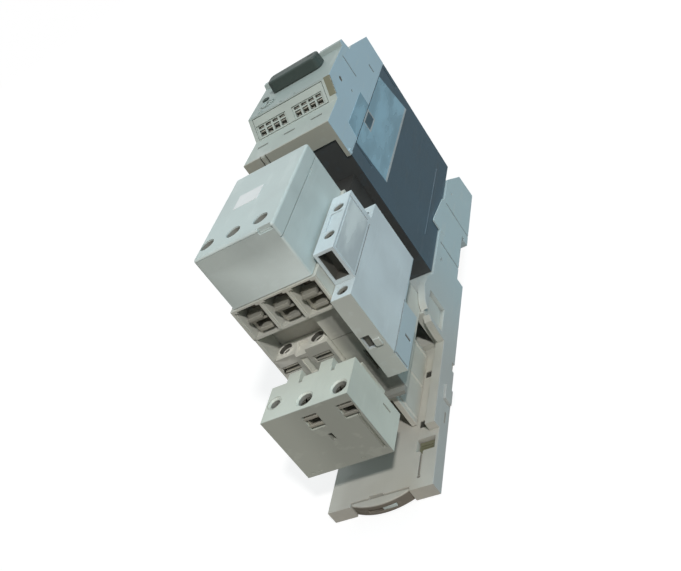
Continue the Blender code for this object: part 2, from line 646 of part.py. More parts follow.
def make_contacts():
    """Contact carrier, its three bridges and the load terminals with their screws."""
    moving = (0.0, MAGNET_Y, BASE_FRONT)
    carrier = box(around(0.0, 16.6), around(MAGNET_Y - 4.0, 6.0), (BASE_FRONT + 0.2, 83.0))
    pin = box((16.0, 24.0), around(PIN_Y, 1.5), around(PIN_Z, 1.5))
    windows = [box(around(pole, 4.2), (-60.0, -36.0), (75.6, 81.2)) for pole in POLES]
    well = rod((0.0, MAGNET_Y), 3.8, 56.0, 73.0)
    piece("contact_carrier", "inner_black", carrier, [pin], [well, *windows], pivot=moving)
    for number, pole in enumerate(POLES, start=1):
        bridge = box(around(pole, 3.4), (-57.0, -34.6), (78.4, 79.9))
        piece(f"contact_bridge_{number}", "copper", bridge, pivot=moving)
        at = (pole + SCREW_SHIFT, SCREW_Y)
        tail = box(around(pole, 3.2), (-74.0, -53.0), (CELL_LOW_Z + GAP, 75.1))
        x = around(pole, 4.7)
        z = (CELL_LOW_Z + GAP, 81.6)
        box_clamp(f"load_terminal_{number}", x, (-72.6, -62.4), z, (75.1, 80.0), at, tail=tail)
        screw(f"load_screw_{number}", at, 2.6, 1.5, (80.1, 81.9, 84.2))


def make_coil_terminals():
    """The coil's terminal block and its two screws."""
    y = (CONTACTOR_LOW_Y + GAP, CONTACTOR_LOW_Y + COIL_BLOCK_DEPTH)
    block = box(COIL_BLOCK_X, y, (COIL_BLOCK_BACK, COIL_BLOCK_FRONT))
    cuts = []
    for x in COIL_SCREWS_X:
        cuts.append(rod((x, COIL_SCREW_Y), 2.9, 53.6, COIL_BLOCK_FRONT + OVER))
        cuts.append(box(around(x, 4.0), (CONTACTOR_LOW_Y - OVER, COIL_SCREW_Y), (52.6, 56.0)))
    piece("coil_terminal_block", "contact_grey", block, cuts=cuts)
    for number, x in enumerate(COIL_SCREWS_X, start=1):
        screw(f"coil_screw_{number}", (x, COIL_SCREW_Y), 2.4, 1.4, (54.0, 56.6, 58.6))


def make_side_block():
    """The contact block on the contactor's right side, its slider and its screws."""
    outline = [(-80.0, 38.0), (-49.0, 38.0), (-49.0, 46.8), (-19.7, 46.8), (-19.7, 77.0)]
    outline += [(-31.0, 77.0), (-31.0, 91.6), (-70.0, 91.6), (-70.0, 77.0), (-80.0, 77.0)]
    room = box((AUX_X[0] - OVER, AUX_X[1] - 1.5), (-62.0, -36.0), (50.0, 84.0))
    entry = box((21.0, 27.3), (-72.0, -64.2), (78.6, 90.4))
    cuts = [room, entry]
    for x, y, front in AUX_SCREWS:
        cuts.append(rod((x, y), 2.4, front - 5.0, front + OVER))
    cuts.append(rod((25.2, -25.3), 1.3, 73.0, 78.0, sides=12))
    piece("aux_housing", "front_grey", prism("X", outline, *AUX_X), cuts=cuts)
    for number, (x, y, front) in enumerate(AUX_SCREWS, start=1):
        screw(f"aux_screw_{number}", (x, y), 2.0, 1.1, (front - 4.6, front - 3.2, front - 1.0))
    slider = box((21.0, 26.4), (-54.0, -38.0), (56.0, 76.0))
    notch = box((20.0, 24.5), around(PIN_Y, 1.9), around(PIN_Z, 1.9))
    piece("aux_carrier", "inner_black", slider, cuts=[notch], pivot=(23.7, PIN_Y, PIN_Z))


def make_feeder():
    """The feeder terminal block with its plug neck, tabs, clamps and screws."""
    y = (FEEDER_LOW_Y, FEEDER_HIGH_Y)
    neck = box(around(0.0, 13.0), (FEEDER_HIGH_Y - OVER, CONTACTOR_LOW_Y - GAP), (30.0, 46.0))
    tabs = [box(x, (FEEDER_HIGH_Y - OVER, -82.5), (51.0, FEEDER_Z[1])) for x in FEEDER_TABS_X]
    front = (44.0, FEEDER_Z[1] + OVER)
    cuts = [rod((-14.9, -96.8), 2.2, *front)]
    for x in FEEDER_SCREWS_X:
        cuts.append(rod((x, FEEDER_SCREW_Y), FEEDER_HOLE_R, 50.0, FEEDER_Z[1] + OVER))
        wire_x = around(x + FEEDER_WIRE_SHIFT, 3.2)
        cuts.append(box(wire_x, (FEEDER_LOW_Y - OVER, -94.0), (46.2, 53.2)))
    for x in FEEDER_TABS_X:
        cuts.append(box((x[1] + 0.3, x[1] + 2.0), (-90.0, FEEDER_HIGH_Y + OVER), (51.0, FEEDER_Z[1] + OVER)))
    cuts.append(box((1.4, 3.2), (FEEDER_LOW_Y - OVER, -103.8), (39.0, 42.6)))
    piece("feeder_block", "feeder_white", box(around(0.0, FEEDER_X), y, FEEDER_Z), [neck, *tabs], cuts)
    for number, x in enumerate(FEEDER_SCREWS_X, start=1):
        at = (x, FEEDER_SCREW_Y)
        cage_x = around(x + FEEDER_WIRE_SHIFT, 2.9)
        cage_y = (-104.6, -94.4)
        box_clamp(f"feeder_clamp_{number}", cage_x, cage_y, (46.5, 52.9), (47.2, 51.8), at, wall=0.6)
        screw(f"feeder_screw_{number}", at, 2.5, 1.5, (51.9, 53.2, 55.2))


def main():
    clear_scene()
    make_plate()
    make_latch()
    make_support()
    make_breaker_case()
    make_breaker_cover()
    make_spring_terminals()
    make_breaker_controls()
    make_breaker_inside()
    make_link()
    make_contactor_shells()
    make_magnet()
    make_contacts()
    make_coil_terminals()
    make_side_block()
    make_feeder()


main()
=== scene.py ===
"""Looks of a motor starter on its mounting plate: moulded shells, screws, clamps, labels and controls,
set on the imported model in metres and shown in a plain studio."""

import json
import math

import bmesh
import bpy
from mathutils import Matrix, Vector


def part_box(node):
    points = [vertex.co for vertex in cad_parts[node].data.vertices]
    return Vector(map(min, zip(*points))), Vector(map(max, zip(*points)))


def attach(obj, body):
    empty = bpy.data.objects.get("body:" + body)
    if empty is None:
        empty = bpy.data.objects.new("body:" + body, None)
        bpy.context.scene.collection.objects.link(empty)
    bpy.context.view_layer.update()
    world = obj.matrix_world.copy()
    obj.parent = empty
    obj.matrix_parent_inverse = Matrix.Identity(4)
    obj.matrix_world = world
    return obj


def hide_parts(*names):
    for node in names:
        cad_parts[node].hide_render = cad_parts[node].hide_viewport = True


bl_info = {
    "name": "Motor starter looks",
    "version": (1, 0, 0),
    "blender": (4, 5, 0),
    "location": "3D View > Sidebar > Starter",
    "description": "Dresses a motor starter in moulded plastic, plated steel and film labels",
    "category": "Object",
}

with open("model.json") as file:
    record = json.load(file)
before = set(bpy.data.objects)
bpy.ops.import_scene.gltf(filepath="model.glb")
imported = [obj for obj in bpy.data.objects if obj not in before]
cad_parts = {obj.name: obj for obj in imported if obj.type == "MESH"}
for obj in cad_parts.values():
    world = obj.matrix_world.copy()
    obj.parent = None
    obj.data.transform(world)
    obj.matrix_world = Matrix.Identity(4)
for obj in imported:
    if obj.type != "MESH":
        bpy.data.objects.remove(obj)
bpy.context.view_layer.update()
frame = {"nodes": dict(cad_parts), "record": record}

MM = 0.001
AXES = "XYZ"
POLES = (-12.5, 0.0, 12.5)

# Angles past which edges are rounded or kept sharp, and distances within which points count as one
ROUND_FROM = math.radians(32.0)
SHARP_FROM = math.radians(35.0)
FLAT_WITHIN = math.radians(1.0)
NODE_MERGE = 2e-6
SPIN_MERGE = 1e-7
NEAR_SIDE = 2e-5

# Camera and key light
CAMERA_AT = (159.188, -309.740, 206.324)
CAMERA_RIGHT = Vector((0.82021638, 0.17514118, -0.54458301))
CAMERA_DOWN = Vector((-0.35273553, -0.59461797, -0.72250060))
CAMERA_AHEAD = Vector((-0.45035845, 0.78470060, -0.42593689))
CAMERA_LENS = 44.872
KEY_FROM = Vector((0.518, -0.476, 0.71))

# Breaker: heights of its front and the foot and top of the riser
LEDGE_Z = 109.9
FRONT_Z = 119.0
RISER_FOOT = Vector((23.6, LEDGE_Z))
RISER_TOP = Vector((30.1, FRONT_Z))
SIDE_X = 22.5
HANDLE_AT = (0.0, 54.0)
DIAL_AT = (-14.0, 38.9)
SPRING_GROUPS = (-11.7, 8.2)
SPRING_PITCH = 3.9

# Contactor and its neighbours
BASE_FACE_Y = -73.0
BASE_SLOT_X = 14.8
UNDERCUT_Z = 72.0
LID_Z = 111.9
DRIVER_HOLES = tuple((pole - 2.2, -67.0) for pole in POLES)
COIL_SCREWS = ((-14.5, -70.6), (0.5, -70.6))
COIL_FRONT = 60.0
AUX_SIDE_X = 28.5
AUX_SLOT_Y = -65.0
AUX_GROOVE_Y = -78.8
AUX_SCREWS = ((24.6, -40.8, 91.6), (24.6, -59.7, 91.6), (24.0, -75.2, 77.0))
FEEDER_Z = 56.7
FEEDER_HOLES = ((-0.4, -100.4, 3.0), (14.3, -100.4, 3.0), (-14.9, -96.8, 2.2))


def linear(red, green, blue):
    """A screen colour from 0 to 255 as linear light."""
    levels = []
    for level in (red, green, blue):
        share = level / 255.0
        levels.append(share / 12.92 if share <= 0.04045 else ((share + 0.055) / 1.055) ** 2.4)
    return tuple(levels)


def colour_setting(name, description, screen):
    """A colour that the user can change."""
    return bpy.props.FloatVectorProperty(
        name=name, description=description, subtype="COLOR", size=3, min=0.0, max=1.0, default=linear(*screen)
    )


def length_setting(name, description, millimetres):
    """A length that the user can change, kept in metres."""
    return bpy.props.FloatProperty(
        name=name,
        description=description,
        default=millimetres * MM,
        min=0.0,
        max=0.01,
        precision=5,
        unit="LENGTH",
    )


class StarterColours(bpy.types.PropertyGroup):
    plate: colour_setting("Plate", "Moulded plate, support and latch", (190, 190, 182))
    front: colour_setting("Contactor front", "Cover and lid of the contactor", (196, 208, 206))
    breaker: colour_setting("Breaker front", "Front cover of the breaker", (176, 186, 180))
    body: colour_setting("Contactor body", "Base, body and coil terminals", (198, 200, 192))
    side: colour_setting("Side block", "Contact block on the contactor's side", (210, 222, 226))
    feeder: colour_setting("Feeder block", "Terminal block at the lower end", (206, 212, 202))
    case: colour_setting("Breaker case", "Dark rear case of the breaker", (74, 94, 106))
    handle: colour_setting("Handle", "Rotary handle and test button", (48, 62, 58))
    label: colour_setting("Side label", "Glossy film on the breaker's side", (146, 186, 204))
    blank: colour_setting("Blank label", "White marker plate on the lid", (232, 238, 238))
    window: colour_setting("Window", "Tinted cover strips and pockets", (122, 122, 98))
    steel: colour_setting("Plated steel", "Screws and clamps", (172, 170, 160))
    copper: colour_setting("Copper", "Bars, contacts and winding", (214, 150, 112))
    # Painted shade in corners, mixed with dust: the colour that hollows darken towards
    corner_shade_and_dust: colour_setting("Grime", "Dust that settles in corners", (74, 70, 60))


class StarterSizes(bpy.types.PropertyGroup):
    edge: length_setting("Moulded edge", "Rounding along the moulded edges", 0.3)
    fine_edge: length_setting("Fine edge", "Rounding along small details", 0.15)
    grain: length_setting("Grain depth", "Depth of the moulds' fine texture", 0.012)
    film: length_setting("Label thickness", "Thickness of the labels", 0.15)


class Field:
    """A shader socket that takes part in arithmetic."""

    def __init__(self, network, socket):
        self.network = network
        self.socket = socket

    def math(self, operation, *values):
        return self.network.node("ShaderNodeMath", {"operation": operation}, dict(enumerate(values)))

    def __add__(self, other):
        return self.math("ADD", self, other)

    def __radd__(self, other):
        return self.math("ADD", other, self)

    def __sub__(self, other):
        return self.math("SUBTRACT", self, other)

    def __rsub__(self, other):
        return self.math("SUBTRACT", other, self)

    def __mul__(self, other):
        return self.math("MULTIPLY", self, other)

    def __rmul__(self, other):
        return self.math("MULTIPLY", other, self)


class Network:
    """The nodes of a material or a world."""

    def __init__(self, owner, output):
        owner.use_nodes = True
        self.tree = owner.node_tree
        self.tree.nodes.clear()
        self.output = self.tree.nodes.new(output)

    def feed(self, socket, value):
        if isinstance(value, Field):
            self.tree.links.new(value.socket, socket)
        elif socket.type == "RGBA":
            socket.default_value = (*value[:3], 1.0)
        else:
            socket.default_value = value

    def node(self, kind, settings=None, inputs=None, output=0):
        """Add a node: its settings first, then the values or links of its sockets."""
        made = self.tree.nodes.new(kind)
        for key, value in (settings or {}).items():
            setattr(made, key, value)
        for key, value in (inputs or {}).items():
            self.feed(made.inputs[key], value)
        return Field(self, made.outputs[output])

    def show(self, surface):
        """Send a shader to the output."""
        self.feed(self.output.inputs["Surface"], surface)


class Finish(Network):
    """One material: a shader, the piece's own coordinates and the nodes that feed it."""

    def __init__(self, name):
        self.material = bpy.data.materials.new(name)
        super().__init__(self.material, "ShaderNodeOutputMaterial")
        self.shader = self.tree.nodes.new("ShaderNodeBsdfPrincipled")
        self.show(Field(self, self.shader.outputs[0]))
        self.place = self.node("ShaderNodeTexCoord", output="Object")

    def set(self, **values):
        """Set or link the shader's sockets, named with underscores."""
        for key, value in values.items():
            self.feed(self.shader.inputs[key.replace("_", " ")], value)

    def stretched(self, scale, turn=(0.0, 0.0, 0.0)):
        """The piece's coordinates, scaled and turned."""
        return self.node("ShaderNodeMapping", None, {"Vector": self.place, "Scale": scale, "Rotation": turn})

    def along(self, axis):
        """The piece's coordinate along one axis, in metres."""
        return self.node("ShaderNodeSeparateXYZ", None, {"Vector": self.place}, output=axis)

    def noise(self, scale, detail=2.0, place=None):
        """Noise with about that many patches to the metre."""
        inputs = {"Vector": place or self.place, "Scale": scale, "Detail": detail}
        return self.node("ShaderNodeTexNoise", None, inputs)

    def step(self, value, low, high):
        """A soft step from 0 at low to 1 at high."""
        inputs = {"Value": value, "From Min": low, "From Max": high}
        return self.node("ShaderNodeMapRange", {"interpolation_type": "SMOOTHSTEP"}, inputs)

    def mix(self, factor, first, second):
        """Two colours mixed by a factor."""
        inputs = {0: factor, 6: first, 7: second}
        return self.node("ShaderNodeMix", {"data_type": "RGBA"}, inputs, output=2)

    def hollow(self, reach):
        """How enclosed a spot is by its own piece, from 0 in the open to 1 in a corner."""
        settings = {"samples": 6, "only_local": True}
        return 1 - self.node("ShaderNodeAmbientOcclusion", settings, {"Distance": reach}, output="AO")

    def relief(self, height, depth):
        """Bump of that depth from a height between 0 and 1."""
        bump = self.node("ShaderNodeBump", None, {"Height": height, "Distance": depth, "Strength": 1.0})
        self.set(Normal=bump)


def toned(colour, share):
    """A colour made lighter or darker."""
    return tuple(min(level * share, 1.0) for level in colour)


def tinted(colour, *shares):
    """A colour with each of its three levels made stronger or weaker."""
    return tuple(level * share for level, share in zip(colour, shares))


def moulded(name, colour, roughness=0.5, shade_and_dust=0.75, warm=0.18, skins=()):
    """Moulded plastic: slight tone drift, fine grain, scuffs, dust and painted shade in corners, and skins.

    A skin is a colour of painted light and shade, and its bands: an axis and two distances in millimetres,
    between which the colour fades in.
    """
    found = bpy.data.materials.get(name)
    if found:
        return found
    settings = bpy.context.scene.starter_colours
    finish = Finish(name)
    drift = finish.step(finish.noise(38.0, 4.0), 0.32, 0.68)
    speck = finish.noise(3200.0, 2.0)
    scuff = finish.noise(160.0, 5.0, finish.stretched((1.0, 0.25, 1.6), (0.4, 0.2, 0.7)))
    marks = finish.step(scuff, 0.56, 0.66)
    aged = finish.step(finish.noise(17.0, 3.0), 0.48, 0.78) * warm
    # Painted shade with dust: how enclosed each spot is, which darkens the hollows towards that colour
    corner = finish.step(finish.hollow(0.0035), 0.3, 0.95)
    base = finish.mix(drift, toned(colour, 0.93), toned(colour, 1.05))
    base = finish.mix(aged, base, tinted(colour, 0.98, 0.92, 0.78))
    # Each skin paints light or shade on the faces inside its bands
    for tone, *bands in skins:
        cover = 1.0
        for axis, start, full in bands:
            cover = finish.step(finish.along(axis), start * MM, full * MM) * cover
        base = finish.mix(cover, base, tone)
    base = finish.mix(marks * 0.12, base, toned(colour, 1.25))
    base = finish.mix(finish.step(speck, 0.6, 0.75) * 0.1, base, toned(colour, 0.7))
    base = finish.mix(corner * shade_and_dust, base, tuple(settings.corner_shade_and_dust))
    finish.set(Base_Color=base, Roughness=roughness + 0.14 * drift - 0.1 * marks + 0.1 * corner)
    depth = bpy.context.scene.starter_sizes.grain
    finish.relief(speck + 0.5 * scuff, depth)
    return finish.material


def plated(name, colour, roughness=0.32, metallic=1.0):
    """Plated metal: fine brushing, cloudy passivation and painted shade in its hollows."""
    found = bpy.data.materials.get(name)
    if found:
        return found
    finish = Finish(name)
    brushed = finish.noise(900.0, 3.0, finish.stretched((1.0, 0.06, 1.0)))
    cloud = finish.step(finish.noise(120.0, 3.0), 0.35, 0.7)
    corner = finish.step(finish.hollow(0.002), 0.35, 1.0)
    base = finish.mix(cloud, toned(colour, 0.82), toned(colour, 1.1))
    base = finish.mix(cloud * 0.25, base, tinted(colour, 1.0, 0.94, 0.76))
    # Painted shade: hollows darkened towards a quarter of the colour
    base = finish.mix(corner * 0.7, base, toned(colour, 0.25))
    finish.set(Base_Color=base, Metallic=metallic, Roughness=roughness + 0.2 * brushed - 0.1 * cloud)
    finish.relief(brushed, 0.000008)
    return finish.material


def film(name, colour, roughness=0.22, streak=0.35):
    """Printed film: smooth and glossy, with faint ripples where it was pressed on."""
    found = bpy.data.materials.get(name)
    if found:
        return found
    finish = Finish(name)
    ripple = finish.noise(70.0, 3.0, finish.stretched((1.0, 0.35, 1.2), (0.6, 0.0, 0.0)))
    cloud = finish.step(ripple, 0.42, 0.66)
    speck = finish.noise(1500.0, 2.0)
    base = finish.mix(cloud * streak, toned(colour, 0.86), toned(colour, 1.4))
    base = finish.mix(finish.step(speck, 0.58, 0.8) * 0.08, base, toned(colour, 0.5))
    finish.set(Base_Color=base, Roughness=roughness + 0.12 * cloud, Coat_Weight=0.35 + 0.25 * cloud)
    finish.set(Coat_Roughness=0.12)
    finish.relief(ripple, 0.00006)
    return finish.material


def around(centre, half):
    """Limits at the same distance on both sides of a centre."""
    return (centre - half, centre + half)


def both_sides(limits):
    """The same limits on the right and on the left."""
    return (limits, (-limits[1], -limits[0]))


def slab(x, y, z):
    """A block between limits in millimetres."""
    shape = bmesh.new()
    bmesh.ops.create_cube(shape, size=1.0)
    limits = (x, y, z)
    size = Vector([high - low for low, high in limits]) * MM
    middle = Vector([(low + high) / 2 for low, high in limits]) * MM
    bmesh.ops.scale(shape, vec=size, verts=shape.verts)
    bmesh.ops.translate(shape, vec=middle, verts=shape.verts)
    return shape


def round_edges(shape, edges, radius, segments):
    """Round some of a shape's edges by a radius in millimetres."""
    bmesh.ops.bevel(
        shape,
        geom=edges,
        offset=radius * MM,
        affect="EDGES",
        segments=segments,
        profile=0.5,
        material=-1,
    )


def soft_slab(x, y, z, radius):
    """A block with all its edges rounded."""
    shape = slab(x, y, z)
    round_edges(shape, shape.edges[:], radius, 3)
    return shape


def set_along(shape, axis, centre, middle=0.0):
    """Lay an upright shape along an axis, with its middle at that height and its axis on a centre."""
    turns = {
        "X": Matrix.Rotation(math.pi / 2, 4, "Y"),
        "Y": Matrix.Rotation(-math.pi / 2, 4, "X"),
        "Z": Matrix(),
    }
    place = list(centre)
    place.insert(AXES.index(axis), middle)
    move = Matrix.Translation(Vector(place) * MM) @ turns[axis]
    bmesh.ops.transform(shape, matrix=move, verts=shape.verts)
    return shape


def bar(axis, centre, radius, low, high, sides=32, far_radius=None):
    """A round bar along an axis; its far end may have another radius."""
    shape = bmesh.new()
    far = radius if far_radius is None else far_radius
    bmesh.ops.create_cone(
        shape,
        cap_ends=True,
        segments=sides,
        radius1=radius * MM,
        radius2=far * MM,
        depth=(high - low) * MM,
    )
    return set_along(shape, axis, centre, (low + high) / 2)


def prism(axis, outline, low, high):
    """An outline of the two other axes, in X, Y, Z order, drawn out along an axis."""
    at = AXES.index(axis)
    shape = bmesh.new()
    ring = []
    for pair in outline:
        point = list(pair)
        point.insert(at, low)
        ring.append(shape.verts.new(Vector(point) * MM))
    face = shape.faces.new(ring)
    grown = bmesh.ops.extrude_face_region(shape, geom=[face])
    moved = [item for item in grown["geom"] if isinstance(item, bmesh.types.BMVert)]
    step = Vector((0.0, 0.0, 0.0))
    step[at] = (high - low) * MM
    bmesh.ops.translate(shape, vec=step, verts=moved)
    bmesh.ops.recalc_face_normals(shape, faces=shape.faces)
    return shape


def spun(outline, steps, closed=False):
    """Pairs of radius and height, joined by a line that is spun about the upright axis."""
    shape = bmesh.new()
    line = [shape.verts.new((radius * MM, 0.0, height * MM)) for radius, height in outline]
    ahead = line[1:] + line[:1] if closed else line[1:]
    edges = [shape.edges.new(pair) for pair in zip(line, ahead)]
    bmesh.ops.spin(
        shape,
        geom=line + edges,
        cent=(0, 0, 0),
        axis=(0, 0, 1),
        angle=2 * math.pi,
        steps=steps,
        use_merge=True,
    )
    bmesh.ops.remove_doubles(shape, verts=shape.verts, dist=SPIN_MERGE)
    bmesh.ops.recalc_face_normals(shape, faces=shape.faces)
    return shape


def lathe(axis, centre, outline):
    """A turned shape whose outline of radius and height starts and ends on the axis."""
    return set_along(spun(outline, 40), axis, centre)


def ring(axis, centre, inner, outer, low, high, steps=32):
    """A flat ring: a round band between two radii and two heights."""
    corners = [(inner, low), (outer, low), (outer, high), (inner, high)]
    return set_along(spun(corners, steps, closed=True), axis, centre)


def turned(shape, degrees, centre):
    """A shape turned about an upright line through a centre."""
    middle = Vector((centre[0], centre[1], 0.0)) * MM
    turn = Matrix.Rotation(math.radians(degrees), 3, "Z")
    bmesh.ops.rotate(shape, cent=middle, matrix=turn, verts=shape.verts)
    return shape


def gathered(shapes):
    """Several shapes as one."""
    whole = bmesh.new()
    for shape in shapes:
        carried = bpy.data.meshes.new("carried")
        shape.to_mesh(carried)
        shape.free()
        whole.from_mesh(carried)
        bpy.data.meshes.remove(carried)
    return whole


def node_copy(node):
    """A copy of a CAD node's mesh with its triangles joined into flat faces."""
    shape = bmesh.new()
    shape.from_mesh(frame["nodes"][node].data)
    bmesh.ops.remove_doubles(shape, verts=shape.verts, dist=NODE_MERGE)
    bmesh.ops.dissolve_limit(shape, angle_limit=FLAT_WITHIN, verts=shape.verts, edges=shape.edges)
    return shape


def softened(shape, radius, bare):
    """A plain block with its edges rounded, but for those on bare sides, each an axis and 0 or 1."""
    sides = {vert: set() for vert in shape.verts}
    for axis in range(3):
        places = {vert: vert.co[axis] for vert in shape.verts}
        for end, limit in enumerate((min(places.values()), max(places.values()))):
            for vert, place in places.items():
                if abs(place - limit) < NEAR_SIDE:
                    sides[vert].add((axis, end))
    chosen = []
    for edge in shape.edges:
        shared = sides[edge.verts[0]] & sides[edge.verts[1]]
        if len(shared) == 2 and not shared & bare:
            chosen.append(edge)
    round_edges(shape, chosen, radius, 4)
    return shape


def as_object(name, shape):
    """A shape as an object at the origin."""
    mesh = bpy.data.meshes.new(name)
    shape.to_mesh(mesh)
    shape.free()
    made = bpy.data.objects.new(name, mesh)
    bpy.context.scene.collection.objects.link(made)
    return made


def carve(piece, shapes, operation):
    """Join shapes to a piece or cut them out of it, and keep only the result."""
    tool = as_object("tool", gathered(shapes))
    change = piece.modifiers.new("carve", "BOOLEAN")
    change.operation = operation
    change.solver = "EXACT"
    change.use_self = True
    change.object = tool
    graph = bpy.context.evaluated_depsgraph_get()
    result = bpy.data.meshes.new_from_object(piece.evaluated_get(graph))
    piece.modifiers.clear()
    before = piece.data
    piece.data = result
    bpy.data.meshes.remove(before)
    used = tool.data
    bpy.data.objects.remove(tool)
    bpy.data.meshes.remove(used)


def make_piece(name, shape, finish, body="starter", stands_for=(), adds=(), cuts=(), edge=None):
    """Finish a piece: carve it, round its edges, give it its material and set it on its body."""
    piece = as_object(name, shape)
    if adds:
        carve(piece, adds, "UNION")
    if cuts:
        carve(piece, cuts, "DIFFERENCE")
    piece.data.name = name
    piece.data.materials.clear()
    piece.data.materials.append(finish)
    for face in piece.data.polygons:
        face.use_smooth = True
        face.material_index = 0
    width = bpy.context.scene.starter_sizes.edge if edge is None else edge
    if width:
        rounding = piece.modifiers.new("edges", "BEVEL")
        rounding.width = width
        rounding.segments = 2
        rounding.limit_method = "ANGLE"
        rounding.angle_limit = ROUND_FROM
        rounding.use_clamp_overlap = True
        rounding.material = -1
    else:
        piece.data.set_sharp_from_angle(angle=SHARP_FROM)
    weight = piece.modifiers.new("normals", "WEIGHTED_NORMAL")
    weight.keep_sharp = True
    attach(piece, body)
    if stands_for:
        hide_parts(*stands_for)


def dress(node, finish, body="starter", adds=(), cuts=(), edge=None, shape=None):
    """A CAD node, or a shape in its place, with its details carved in and its edges rounded."""
    shape = shape or node_copy(node)
    make_piece(f"{node}_finished", shape, finish, body, (node,), adds, cuts, edge)


def block_of(node):
    """A plain block as large as a CAD node."""
    low, high = (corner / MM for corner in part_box(node))
    return slab(*zip(low, high))


def screw_head(node, finish, head):
    """A turned screw with a domed head and a cross recess, in a CAD screw's place."""
    low, high = (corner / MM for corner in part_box(node))
    centre = ((low.x + high.x) / 2, (low.y + high.y) / 2)
    radius = (high.x - low.x) / 2
    neck = high.z - head
    shank = radius * 0.58
    outline = [
        (0.0, low.z),
        (shank * 0.7, low.z),
        (shank, low.z + 0.3),
        (shank, neck),
        (radius * 0.94, neck),
        (radius, neck + 0.2),
        (radius, high.z - 0.5),
        (radius * 0.86, high.z - 0.12),
        (radius * 0.5, high.z),
        (0.0, high.z),
    ]
    deep = (high.z - head * 0.55, high.z + 1.0)
    cuts = [slab(around(centre[0], radius * 0.13), around(centre[1], radius * 0.72), deep)]
    cuts.append(slab(around(centre[0], radius * 0.72), around(centre[1], radius * 0.13), deep))
    make_piece(
        f"{node}_turned",
        lathe("Z", centre, outline),
        finish,
        stands_for=(node,),
        cuts=[turned(shape, 24.0, centre) for shape in cuts],
        edge=0.0,
    )


def side_marks(x, gap=0.0):
    """Slots and pin holes in a side of the breaker's cover, or inserts of painted shade that leave a gap in
    them.
    """
    return [
        slab(x, around(57.0, 0.45 - gap), (105.0 + 2 * gap, 116.5 - 2 * gap)),
        bar("X", (39.3, 112.4), 1.4 - gap, *x, sides=20),
        bar("X", (42.7, 104.3), 0.7 - gap, *x, sides=14),
        slab(x, around(80.6, 0.6 - gap), (96.0 + 2 * gap, 100.7 - 2 * gap)),
    ]


def driver_bars():
    """Bars that open the driver holes in the contactor's cover and lid."""
    return [bar("Z", at, 3.2, 80.0, LID_Z + 1.0) for at in DRIVER_HOLES]


def riser(along, depth):
    """A point in Y and Z on the sloped riser: along it from its foot, and below its face."""
    rise = (RISER_TOP - RISER_FOOT).normalized()
    inward = Vector((rise.y, -rise.x))
    spot = RISER_FOOT + rise * along + inward * depth
    return (spot.x, spot.y)


def riser_patch(along, depth):
    """A rectangle in Y and Z set square to the riser."""
    corners = ((0, 0), (1, 0), (1, 1), (0, 1))
    return [riser(along[first], depth[second]) for first, second in corners]


def spring_columns():
    """Middles of the spring terminals along X."""
    return [group + (column - 1.5) * SPRING_PITCH for group in SPRING_GROUPS for column in range(4)]


def colour_of(name):
    """A colour from the user's settings."""
    return tuple(getattr(bpy.context.scene.starter_colours, name))


def plate_plastic():
    colour = colour_of("plate")
    # Painted sheen: the sky's bluish light painted towards the upper end, and faintly on the right side
    sky = tinted(colour, 0.92, 1.16, 1.34)
    faint = tinted(colour, 0.94, 0.98, 1.04)
    skins = ((faint, ("X", 22.9, 23.3)), (sky, ("Y", -50.0, 40.0)))
    return moulded("plate_plastic", colour, 0.52, 0.8, 0.45, skins)


def latch_plastic():
    colour = colour_of("plate")
    # Painted shade: the latch darker below about 5 mm, on its lower faces
    painted_shade_below = tinted(colour, 0.36, 0.33, 0.3)
    skins = ((painted_shade_below, ("Z", 5.3, 4.7)),)
    return moulded("latch_plastic", colour, 0.5, 0.8, 0.4, skins)


def front_plastic():
    return moulded("front_plastic", colour_of("front"), 0.46, 0.6, 0.12)


def breaker_plastic():
    colour = colour_of("breaker")
    # Painted light and shade: a darker front face, a warmer and darker lower end, and a bluish painted sheen
    # on the right side
    front = tinted(colour, 0.74, 0.78, 0.8)
    end = tinted(colour, 0.92, 0.84, 0.78)
    side = tinted(colour, 1.02, 1.2, 1.46)
    skins = ((front, ("Z", 118.2, 118.8)), (end, ("Y", 3.1, 2.6)), (side, ("X", 22.2, 22.45)))
    return moulded("breaker_plastic", colour, 0.46, 0.7, 0.12, skins)


def body_plastic():
    colour = colour_of("body")
    # Painted shade: the recess beside the side block darkened where the block's shadow falls
    skins = ((toned(colour, 0.5), ("X", 5.0, 11.0), ("Y", -72.4, -72.9), ("Z", 73.0, 71.0)),)
    return moulded("body_plastic", colour, 0.5, 0.45, 0.4, skins)


def side_plastic():
    colour = colour_of("side")
    # Painted shade: the lower band of the outer side darker and bluer, and the lower end face warmer and
    # darker
    end = tinted(colour, 0.84, 0.8, 0.72)
    low = tinted(colour, 0.72, 0.78, 0.8)
    skins = ((low, ("X", 28.2, 28.4), ("Z", 47.6, 47.2)), (end, ("Y", -79.4, -79.8)))
    return moulded("side_plastic", colour, 0.46, 0.65, 0.15, skins)


def feeder_plastic():
    colour = colour_of("feeder")
    # Painted shade on the lower end face, and a deeper painted shadow on it from its middle to the right
    end = ("Y", -105.4, -105.7)
    skins = ((toned(colour, 0.74), end), (toned(colour, 0.6), end, ("X", -14.0, 2.0)))
    return moulded("feeder_plastic", colour, 0.48, 0.7, 0.2, skins)


def case_plastic():
    colour = colour_of("case")
    # Painted shade: the lower end warmer and darker, kept off the outer sides
    end = tinted(colour, 0.8, 0.52, 0.4)
    skins = ((end, ("Y", 14.0, 2.6)), (colour, ("X", 22.2, 22.4)))
    return moulded("case_plastic", colour, 0.42, 0.3, 0.05, skins)


def handle_plastic():
    return moulded("handle_plastic", colour_of("handle"), 0.52, 0.3, 0.05)


def inner_plastic():
    return moulded("inner_plastic", linear(44, 44, 42), 0.55, 0.2, 0.05)


